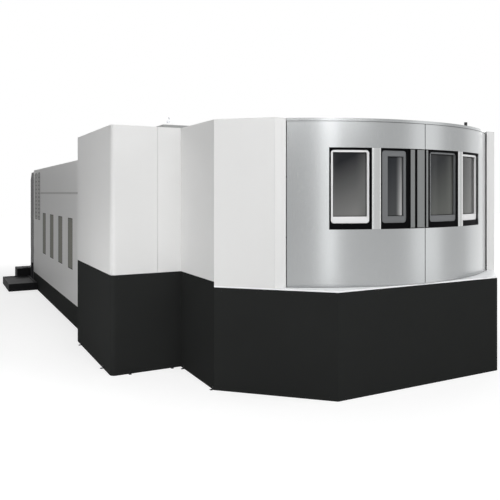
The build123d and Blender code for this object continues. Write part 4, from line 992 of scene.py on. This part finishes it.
roof_high, rear_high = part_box("roof_front")[1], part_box("roof_rear")[1]
hood_low, hood_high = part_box("column_hood")
rear_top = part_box("wall_back")[1].z
strips, screws, eyes = bmesh.new(), bmesh.new(), bmesh.new()
roof_runs = ((hood_high.y + 0.1, rear_high.y - 0.06, rear_top), (-4.9, roof_high.y - 0.1, roof_high.z))
for x in (-1.6, 0.435, 2.0):
    for y0, y1, z in roof_runs:
        cover_strip(strips, screws, (x, y0, z), (x, y1, z), up, width=0.06, thick=0.0025, inset=0.12,
                    count=6, radius=screw_radius)
eye_rows = ((hood_high.y + 0.4, rear_top), (rear_high.y - 0.4, rear_top), (-5.2, roof_high.z),
            (-2.4, roof_high.z))
for x in (-2.9, 2.8):
    for y, z in eye_rows:
        eye_bolt(eyes, (x, y, z), radius=0.032)
piece("roof_strips", "frame", "cover_white", strips)
piece("roof_screws", "frame", "ground_steel", screws, zinc)
piece("roof_lifting_eyes", "frame", "ground_steel", eyes, zinc)

# %% [markdown]
# ## Walls
#
# The long walls are made of sheets, too. A flat strip runs along the left wall above eye height, where
# the upper sheets stand on the lower ones, and upright strips cover the joints of the right wall and of
# the back wall. The back wall also has a plate with cable glands, where the cables of the drives come
# out. A gland is a turned body with a hexagon and a tapering neck.

# %% Dress the walls
right_face, back_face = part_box("cover_right")[1].x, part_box("wall_back")[1].y
joint_z, foot_z, top_z = 2.88, 0.55, 3.5
wall_runs = [((wall_x, 4.15, joint_z), (wall_x, -1.9, joint_z), to_left)]
wall_runs += [((right_face, y, foot_z), (right_face, y, top_z), to_right) for y in (2.3, 3.9)]
wall_runs += [((x, back_face, foot_z), (x, back_face, top_z), to_back) for x in (0.1, 1.7)]
strips, screws = bmesh.new(), bmesh.new()
# The strips get a darker copy of the white cover paint: painted shade, which draws the joints as dark lines.
strip_painted_shade = paint("strip_painted_shade", (0.5, 0.5, 0.49), 0.5, gloss=0.08)
for start, end, out in wall_runs:
    cover_strip(strips, screws, start, end, out, width=0.045, thick=0.003, inset=0.15, count=7,
                radius=0.006)
piece("wall_strips", "frame", "cover_white", strips, strip_painted_shade)
piece("wall_screws", "frame", "cover_white", screws)

gland_profile = [(0.024, 0, "hex"), (0.024, 0.009, "hex"), (0.02, 0.009), (0.02, 0.022),
                 (0.023, 0.022, "hex"), (0.023, 0.034, "hex"), (0.013, 0.042), (0.009, 0.042),
                 (0.009, 0.03)]
gland_place, plate_thick = flat_place((2.6, back_face, 0.9), to_left, to_back), 0.004
gland_plate, glands = bmesh.new(), bmesh.new()
pad(gland_plate, gland_place, (-0.25, -0.12), (0.25, 0.12), corner=0.02, foot=seat, top=plate_thick)
for across in (-0.17, -0.06, 0.05, 0.16):
    for rise in (-0.05, 0.05):
        turned(glands, gland_place(across, rise, plate_thick), to_back, gland_profile, sides=24)
    spots = [gland_place(across, rise, plate_thick) for rise in (-0.105, 0.105)]
    drive(glands, spots, to_back, radius=0.006)
piece("gland_plate", "frame", "cabinet_dark", gland_plate, break_edges=0.001)
piece("cable_glands", "frame", "frame_black", glands, black_screw)

# %% [markdown]
# ## Hood
#
# The raised hood over the column is screwed down along its foot, on all four sides.

# %% Screw down the hood
hood_plan = [(hood_low.x, hood_high.y), (hood_low.x, hood_low.y), (hood_high.x, hood_low.y),
             (hood_high.x, hood_high.y)]
corners, hood_foot = [Vector((x, y, 0)) for x, y in hood_plan], rear_top + 0.04
shape = bmesh.new()
for start, end in zip(corners, corners[1:] + corners[:1]):
    drive(shape, *wall_spots(start, end, hood_foot), screw_radius)
piece("hood_screws", "frame", "ground_steel", shape, zinc)

# %% [markdown]
# ## Control panel
#
# The operator's panel has a dark screen behind a thin bezel, a column of soft keys beside it, and a desk
# with rows of square keys, two override dials, a start and a stop key and a handwheel. It is switched
# off, so the screen only reflects. Keys are plates with round corners, dials are turned bodies with a
# ribbed edge, and none carries a word.

# %% Build the control panel's face
panel_low, panel_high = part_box("control_panel")
panel_wide, face_border, desk_drop, key_seat = 0.52, 0.05, 0.06, 0.0002
face_left, face_right = panel_high.x - panel_wide + face_border, panel_high.x - face_border
panel_middle = (panel_low.z + panel_high.z) / 2
screen_low, screen_high = panel_middle, panel_high.z - face_border
desk_low, desk_high = panel_low.z + desk_drop, panel_middle - desk_drop
desk_y = panel_low.y + 0.005
face_place = flat_place((0, panel_low.y + 0.008, 0), to_right, to_front)
desk_place = flat_place((0, desk_y, 0), to_right, to_front)
glass_right = face_right - 0.05

bezel, pane, keys = bmesh.new(), bmesh.new(), bmesh.new()
border(bezel, face_place, (face_left + 0.002, screen_low + 0.002), (glass_right, screen_high - 0.002),
       rim=0.014, corners=(0.008, 0.005), foot=key_seat, top=0.006)
piece("panel_bezel", "control_panel", "frame_black", bezel, break_edges=0.0015)
pad(pane, face_place, (face_left + 0.015, screen_low + 0.015),
    (glass_right - 0.013, screen_high - 0.015), corner=0.005, foot=key_seat, top=0.003)
piece("panel_screen", "control_panel", "smoked_glass", pane, screen_glass, break_edges=0.0005)

key_size, key_high, key_corner, key_pitch = 0.018, 0.005, 0.003, 0.026
for height in [screen_low + 0.03 + number * 0.034 for number in range(9)]:
    pad(keys, face_place, (glass_right + 0.012, height), (face_right - 0.012, height + 0.02), key_corner,
        key_seat, key_high)
for row in range(5):
    for column in range(9):
        x, z = face_left + 0.02 + column * key_pitch, desk_high - 0.04 - row * key_pitch
        pad(keys, desk_place, (x, z), (x + key_size, z + key_size), key_corner, key_seat, key_high)
piece("panel_keys", "control_panel", "panel_grey", keys, key_light, break_edges=0.0012)

big_key_z = desk_low + 0.03
big_key = [(0.018, key_seat), (0.018, 0.004), (0.014, 0.004), (0.014, 0.009), (0.012, 0.01)]
for name, inset, finish in (("start_key", 0.03, key_green), ("stop_key", 0.08, key_red)):
    shape = bmesh.new()
    turned(shape, (face_left + inset, desk_y, big_key_z), to_front, big_key, sides=24)
    piece(name, "control_panel", "panel_grey", shape, finish)


def dial(shape, x, z, radius, high):
    """A dial with a ribbed edge and a raised pointer."""
    ribs = 24
    place = flat_place((x, desk_y, z), to_right, to_front)
    outline = circle(radius, 2 * ribs)
    outline[::2] = circle(radius * 0.93, ribs)
    plate(shape, place, outline, key_seat, high)
    half = radius * 0.12
    pad(shape, place, (-half, 0), (half, radius * 0.8), radius * 0.1, high, high * 1.25, steps=2)


dials = bmesh.new()
for inset in (0.27, 0.33):
    dial(dials, face_left + inset, desk_high - 0.05, radius=0.018, high=0.014)
dial(dials, face_left + 0.3, desk_low + 0.1, radius=0.034, high=0.012)
piece("panel_dials", "control_panel", "frame_black", dials, black_screw)


def middle_of(name):
    """The middle of a node."""
    low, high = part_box(name)
    return (low + high) / 2


stop = middle_of("emergency_stop")
collar, screws = bmesh.new(), bmesh.new()
collar_radii, collar_steps, collar_high, margin = (0.036, 0.0245), 32, 0.004, 0.02
circles = [circle(radius, collar_steps, stop.x, stop.z) for radius in collar_radii]
ring(collar, desk_place, *circles, key_seat, collar_high)
piece("emergency_stop_collar", "control_panel", "button_red", collar, collar_yellow)
for x in (panel_high.x - panel_wide + margin, panel_high.x - margin):
    spots = [(x, panel_low.y, z) for z in (panel_low.z + margin, panel_middle, panel_high.z - margin)]
    drive(screws, spots, to_front, radius=0.006)
piece("panel_screws", "control_panel", "ground_steel", screws, zinc)

# %% [markdown]
# ## Operator's door
#
# The sliding door has a rubber profile round its pane, plastic caps on the ends of its rails, and cap
# screws that hold the rails.

# %% Dress the operator's door
pane_low, pane_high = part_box("entry_pane")
rail_low, rail_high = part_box("entry_rails")
seal, caps, screws = bmesh.new(), bmesh.new(), bmesh.new()
leaf_thick, over = 0.04, 0.005
place = flat_place((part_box("entry_door")[0].x + leaf_thick, 0, 0), to_back, to_right)
border(seal, place, (pane_low.y - over, pane_low.z - over), (pane_high.y + over, pane_high.z + over),
       rim=0.026, corners=(0.02, 0.01), foot=seat, top=0.006)
piece("entry_pane_seal", "entry_door", "frame_black", seal, rubber, break_edges=0.001)

cap_proud, cap_gap, cap_deep, rail_tall = 0.003, 0.0005, 0.012, 0.05
for y, sign in ((rail_low.y, -1), (rail_high.y, 1)):
    place = flat_place((0, y, 0), to_right * -sign, to_back * sign)
    x0, x1 = sorted((-sign * (rail_low.x + cap_gap), -sign * (rail_high.x + cap_proud)))
    for z in (rail_low.z, rail_high.z - rail_tall):
        pad(caps, place, (x0, z - cap_proud), (x1, z + rail_tall + cap_proud), corner=0.005,
            foot=key_seat, top=cap_deep)
piece("entry_rail_caps", "frame", "frame_black", caps, black_screw, break_edges=0.001)

for z in (rail_low.z + rail_tall / 2, rail_high.z - rail_tall / 2):
    spots = spread((rail_high.x, rail_low.y + 0.1, z), (rail_high.x, rail_high.y - 0.1, z), 8)
    drive(screws, spots, to_right, radius=0.007, screw=cap_screw)
piece("entry_rail_screws", "frame", "ground_steel", screws, zinc)

# %% [markdown]
# ## Electrical cabinet
#
# Two doors with three hinges each, a lever handle, a filter with slanting slats low and high in each
# door, and the main switch. The slats are thin plates, each turned a little, in a frame with round
# corners.

# %% Fit out the cabinet
leaf_boxes = {side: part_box(f"cabinet_door_{side}") for side in ("left", "right")}
cabinet_low, cabinet_high = leaf_boxes["right"][0], leaf_boxes["left"][1]
pull_out, hinge_inset, hinge_out, hinge_half = 0.03, 0.012, 0.011, 0.04
door_face = cabinet_high.y - pull_out
seam_x = (leaf_boxes["right"][1].x + leaf_boxes["left"][0].x) / 2
hinge_profile = [(0.008, 0), (0.01, 0.003), (0.01, 0.038), (0.009, 0.039), (0.009, 0.041), (0.01, 0.042),
                 (0.01, 0.077), (0.008, 0.08)]


def door_spot(x, z):
    """A place function on the back of the cabinet's doors, round a spot."""
    return flat_place((x, door_face, z), to_left, to_back)


def filter_unit(shape, place, half, tall):
    """A filter frame with slanting slats."""
    rim, count, slat_foot, slat_top, slat_thick = 0.02, 9, 0.003, 0.014, 0.0015
    border(shape, place, (-half, 0), (half, tall), rim, corners=(0.012, 0.004), foot=seat, top=0.018)
    inner, pitch = half - rim, (tall - 2 * rim) / count
    for number in range(count):
        low = rim + (number + 0.15) * pitch
        high = low + pitch * 0.9
        under = [place(-inner, low, slat_foot), place(inner, low, slat_foot),
                 place(inner, high, slat_top), place(-inner, high, slat_top)]
        skin(shape, [under, [corner + to_back * slat_thick for corner in under]])


for side, sign in leaf_signs:
    low, high = leaf_boxes[side]
    body, middle = f"cabinet_door_{side}", (low.x + high.x) / 2
    filters, hinges, lever = bmesh.new(), bmesh.new(), bmesh.new()
    for z in (cabinet_low.z + 0.15, cabinet_high.z - 0.5):
        filter_unit(filters, door_spot(middle, z), half=0.16, tall=0.32)
    outer_x = high.x - hinge_inset if side == "left" else low.x + hinge_inset
    for z in (cabinet_low.z + 0.3, (cabinet_low.z + cabinet_high.z) / 2, cabinet_high.z - 0.3):
        turned(hinges, (outer_x, door_face + hinge_out, z - hinge_half), up, hinge_profile)
    place = door_spot(seam_x - sign * 0.2, 1.75)
    pad(lever, place, (-0.018, -0.07), (0.018, 0.07), corner=0.016, foot=seat, top=0.006)
    bar = [place(0, 0.03, 0.006), place(0, 0.03, 0.04), place(0, -0.09, 0.04)]
    bent_bar(lever, bar, radius=0.008, bend=0.02)
    piece(f"cabinet_filters_{side}", body, "grille_dark", filters, break_edges=0.001)
    piece(f"cabinet_hinges_{side}", body, "ground_steel", hinges, zinc)
    piece(f"cabinet_lever_{side}", body, "frame_black", lever, black_screw)

low, high = leaf_boxes["left"]
switch_place = door_spot((low.x + high.x) / 2 + 0.3, 2.1)
back_plate, knob = bmesh.new(), bmesh.new()
pad(back_plate, switch_place, (-0.045, -0.045), (0.045, 0.045), corner=0.006, foot=seat, top=plate_thick)
piece("main_switch_plate", "cabinet_door_left", "button_red", back_plate, collar_yellow, break_edges=0.001)
knob_profile = [(0.03, 0), (0.03, 0.012), (0.024, 0.016)]
turned(knob, switch_place(0, 0, plate_thick), to_back, knob_profile, sides=32)
pad(knob, switch_place, (-0.008, -0.034), (0.008, 0.034), corner=0.006, foot=0.018, top=0.04)
piece("main_switch_knob", "cabinet_door_left", "button_red", knob, key_red, break_edges=0.0015)

# %% [markdown]
# ## Inside the electrical cabinet
#
# When the cabinet's doors swing open, its mounting plate shows: a zinc-plated sheet on spacers, with a
# row of drives, a row of contactors and the control's modules, and slotted ducts between the rows that
# hide the cables. All of it is plates of different thickness with round corners, set out by loops.

# %% Fill the cabinet
box_low, box_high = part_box("cabinet")
wall_thick, side_room, spacer = 0.005, 0.14, 0.025
duct_tall, duct_deep, lid, lid_over = 0.06, 0.08, 0.006, 0.002
inner_place = flat_place((0, box_low.y + wall_thick, 0), to_left, to_back)
left_edge, right_edge = side_room - box_high.x, -side_room - box_low.x
plate_foot, plate_top, plate_face = 0.86, 3.16, spacer + 0.003
spacer_profile = [(0.012, seat, "hex"), (0.012, spacer, "hex"), (0.008, spacer)]
sheet_zinc, housings, fronts, ducts = bmesh.new(), bmesh.new(), bmesh.new(), bmesh.new()
pad(sheet_zinc, inner_place, (left_edge, plate_foot), (right_edge, plate_top), corner=0.01, foot=spacer,
    top=plate_face)
for across in (left_edge + 0.05, right_edge - 0.05):
    for height in (plate_foot + 0.05, plate_top - 0.05):
        turned(sheet_zinc, inner_place(across, height, 0), to_back, spacer_profile, screw_sides)
for height in (0.9, 1.5, 1.86, 2.46, 3.06):
    x0, x1, top = left_edge + 0.06, right_edge - 0.06, height + duct_tall
    pad(ducts, inner_place, (x0, height), (x1, top), corner=0.004, foot=plate_face, top=duct_deep)
    pad(ducts, inner_place, (x0, height - lid_over), (x1, top + lid_over), corner=0.004, foot=duct_deep,
        top=duct_deep + lid)
rows = [(1.0, 9, 0.18, 0.46, 0.28), (1.6, 22, 0.075, 0.22, 0.12), (1.98, 5, 0.33, 0.42, 0.24),
        (2.58, 12, 0.13, 0.42, 0.2)]
row_inset, front_inset = 0.08, 0.012
room = right_edge - left_edge - 2 * row_inset
for height, count, wide, tall, deep in rows:
    for x in [left_edge + row_inset + number * room / count for number in range(count)]:
        top = height + tall
        pad(housings, inner_place, (x, height), (x + wide, top), corner=0.006, foot=plate_face, top=deep)
        pad(fronts, inner_place, (x + front_inset, height + tall * 0.3),
            (x + wide - front_inset, top - 0.02), corner=0.005, foot=deep, top=deep + lid)
piece("mounting_plate", "frame", "ground_steel", sheet_zinc, zinc)
piece("cabinet_modules", "frame", "panel_grey", housings, key_light, break_edges=0.002)
piece("module_fronts", "frame", "panel_grey", fronts, black_screw)
piece("cable_ducts", "frame", "panel_grey", ducts, break_edges=0.001)

# %% [markdown]
# ## Coolant tank
#
# A lid on the tank opens for cleaning. It has two bow handles, which are bars bent at two corners, and a
# row of screws along each side. The lid is the highest flat part of the tank, so its place is read from
# the tank's highest corners.

# %% Fit out the tank
lid_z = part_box("coolant_tank")[1].z
lid_corners = [vertex.co for vertex in nodes["coolant_tank"].data.vertices if lid_z - vertex.co.z < 0.0005]
lid_x0, lid_x1 = span(corner.x for corner in lid_corners)
lid_y0, lid_y1 = span(corner.y for corner in lid_corners)
near, far = [(lid_y0 + lid_y1) / 2 + reach for reach in (-0.08, 0.08)]
bow_foot, bow_high = lid_z + 0.0005, lid_z + 0.045
bow = [(near, bow_foot), (near, bow_high), (far, bow_high), (far, bow_foot)]
handles, screws = bmesh.new(), bmesh.new()
for x in (lid_x0 + 0.25, lid_x1 - 0.25):
    bent_bar(handles, [(x, y, z) for y, z in bow], radius=0.006, bend=0.018)
    for y in (near, far):
        turned(handles, (x, y, lid_z), up, [(0.013, 0), (0.013, 0.003), (0.009, 0.005)])
for y in (lid_y0 + 0.025, lid_y1 - 0.025):
    spots = spread((lid_x0 + 0.05, y, lid_z), (lid_x1 - 0.05, y, lid_z), count=7)
    drive(screws, spots, up, radius=0.007)
piece("tank_handles", "frame", "ground_steel", handles, zinc)
piece("tank_screws", "frame", "ground_steel", screws, zinc)

# %% [markdown]
# ## Signal lamp
#
# The lamp on the roof is black, with a dark ribbed lens over a turned foot. Three screws hold the foot.

# %% Dress the lamp
lamp_low, lamp_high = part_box("signal_lamp")
lamp = middle_of("signal_lamp")
foot_radius = (lamp_high.x - lamp_low.x) / 2 + 0.012
foot_profile = [(foot_radius, 0), (foot_radius, 0.004), (foot_radius - 0.003, 0.006)]
foot = bmesh.new()
turned(foot, (lamp.x, lamp.y, lamp_low.z), up, foot_profile, sides=32)
spots = [(x, y, lamp_low.z + 0.006) for x, y in circle(foot_radius - 0.008, 3, lamp.x, lamp.y)]
drive(foot, spots, up, radius=0.004)
piece("lamp_foot", "frame", "lamp_black", foot, black_screw)

# %% [markdown]
# ## Base pan
#
# Coolant that drips inside the enclosure is caught by a sheet steel pan that covers the ground between
# the skirts. Its outline follows the plan of the skirts, its rim is turned up, and long beads pressed
# into the sheet stiffen it.

# %% Lay the base pan
gap, pan_thick, rim_thick, rim_high, bead_half, bead_high = 0.06, 0.004, 0.004, 0.05, 0.03, 0.006
step_y, pan_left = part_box("cover_right")[0].y + 0.015, wall_x + 0.08
rear_right, rear_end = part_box("wall_right")[0].x - 0.03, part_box("wall_back")[0].y - 0.03
wing_left, wing_rear, bay_left = wing_low.x + gap, wing_high.y - gap, skirt_low.x + gap
pan_outline = [(front_left.x + 0.03, front_y + gap), (front_right.x - 0.03, front_y + gap),
               (skirt_high.x - gap, corner_y + 0.03), (rear_right, step_y), (rear_right, rear_end),
               (pan_left, rear_end), (pan_left, wing_rear), (wing_left, wing_rear),
               (wing_left, wing_face_y + gap), (bay_left, wing_face_y + gap), (bay_left, corner_y + 0.03)]
centre = Vector([sum(values) / len(pan_outline) for values in zip(*pan_outline)])
rim_inside = [centre + (Vector(corner) - centre) * (1 - rim_thick / 3) for corner in pan_outline]
ground = flat_place((0, 0, 0), to_right, up)
shape = bmesh.new()
plate(shape, ground, pan_outline, 0.001, pan_thick)
ring(shape, ground, pan_outline, rim_inside, pan_thick, rim_high)
for x in [middle_x - 2.5 + number * 0.5 for number in range(11)]:
    pad(shape, ground, (x - bead_half, -5.6), (x + bead_half, rear_end - 0.3), corner=0.025,
        foot=pan_thick, top=pan_thick + bead_high)
piece("base_pan", "frame", "rack_steel", shape)

# %% [markdown]
# ## Inside the machine
#
# When the curved doors slide open, the pallet, the change arm and the partition come into view. Their
# large flat faces get what holds them: screws round the arm's hub and the spindle's nose, bushes in the
# pallets' tapped holes, seals round the partition's panes, and cutters in the tool holders.

# %% Dress the change arm, the pallets and the spindle
arm_top, hub_circle, hub_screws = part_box("change_arm")[1].z, 0.34, 16
spots = [(x, y, arm_top) for x, y in circle(hub_circle, hub_screws, middle_x, arc_y)]
shape = bmesh.new()
drive(shape, spots, up, radius=0.009, screw=cap_screw)
piece("arm_hub_screws", "change_arm", "ground_steel", shape, black_screw)

bush_radii, bush_steps, bush_high, bolt_reach = (0.015, 0.0092), 24, 0.0012, 0.5
for name, body in (("pallet_setup", "setup_table"), ("pallet_machining", "rotary_table")):
    middle = middle_of(name)
    place = flat_place((middle.x, middle.y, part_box(name)[1].z), to_right, up)
    shape = bmesh.new()
    for x, y in [(x * bolt_reach, y * bolt_reach) for x in (-1, 1) for y in (-1, 1)]:
        circles = [circle(radius, bush_steps, x, y) for radius in bush_radii]
        ring(shape, place, *circles, 0.0, bush_high)
    piece(f"{name}_bushes", body, "ground_steel", shape, zinc)

nose_y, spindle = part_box("spindle_head")[0].y, middle_of("spindle")
nose_circle, nose_screws, nozzle_circle, nozzles = 0.185, 12, 0.228, 8
nozzle_profile = [(0.014, 0), (0.014, 0.008), (0.011, 0.008, "hex"), (0.011, 0.016, "hex"), (0.006, 0.024),
                  (0.003, 0.024), (0.003, 0.018)]
spots = [(x, nose_y, z) for x, z in circle(nose_circle, nose_screws, spindle.x, spindle.z, start=0.5)]
shape = bmesh.new()
drive(shape, spots, to_front, radius=0.01, screw=cap_screw)
for x, z in circle(nozzle_circle, nozzles, spindle.x, spindle.z):
    turned(shape, (x, nose_y, z), to_front, nozzle_profile, screw_sides)
piece("spindle_nose_fittings", "spindle_head", "ground_steel", shape, zinc)

# %% Seal the partition's panes
side_inset, seal_foot, seal_top = 0.185, 1.985, 3.215
for side in ("left", "right"):
    leaf_low, leaf_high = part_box(f"partition_{side}")
    shape = bmesh.new()
    place = flat_place((0, leaf_low.y, 0), to_right, to_front)
    border(shape, place, (leaf_low.x + side_inset, seal_foot), (leaf_high.x - side_inset, seal_top),
           rim=0.023, corners=(0.02, 0.01), foot=seat, top=0.006)
    piece(f"partition_{side}_seal", f"partition_{side}", "frame_black", shape, rubber, break_edges=0.001)

# %% [markdown]
# ## Cutters
#
# Each tool holder carries a cutter, which hangs below it. A two-fluted drill is one outline, pushed along
# its axis and turned as it goes: the outline is a circle with two bites, and the turn makes the flutes
# run round.

# %% Hang the cutters
def drill(shape, x, y, z, radius, length):
    """A two-fluted drill that points down from a spot."""
    sides, steps, turns, tip_from = 20, 18, 1.5, 0.93
    outlines = []
    for share in [step / steps for step in range(steps + 1)]:
        taper = 1.0 - 0.9 * max(0.0, (share - tip_from) / (1 - tip_from))
        outline = []
        for angle in [2 * pi * side / sides for side in range(sides)]:
            reach = radius * (1.0 - 0.45 * max(0.0, cos(2 * angle)) ** 2) * taper
            round_by = angle + 2 * pi * turns * share
            outline.append((x + reach * cos(round_by), y + reach * sin(round_by), z - length * share))
        outlines.append(outline)
    skin(shape, outlines)


shape = bmesh.new()
for number, points in enumerate(solids_of(nodes["tools"])):
    (x0, x1), (y0, y1) = (span(point[axis] for point in points) for axis in (0, 1))
    foot = min(point.z for point in points)
    radius, length = 0.012 + 0.003 * (number % 4), 0.1 + 0.015 * (number % 3)
    drill(shape, (x0 + x1) / 2, (y0 + y1) / 2, foot, radius, length)
piece("cutters", "frame", "ground_steel", shape, zinc)
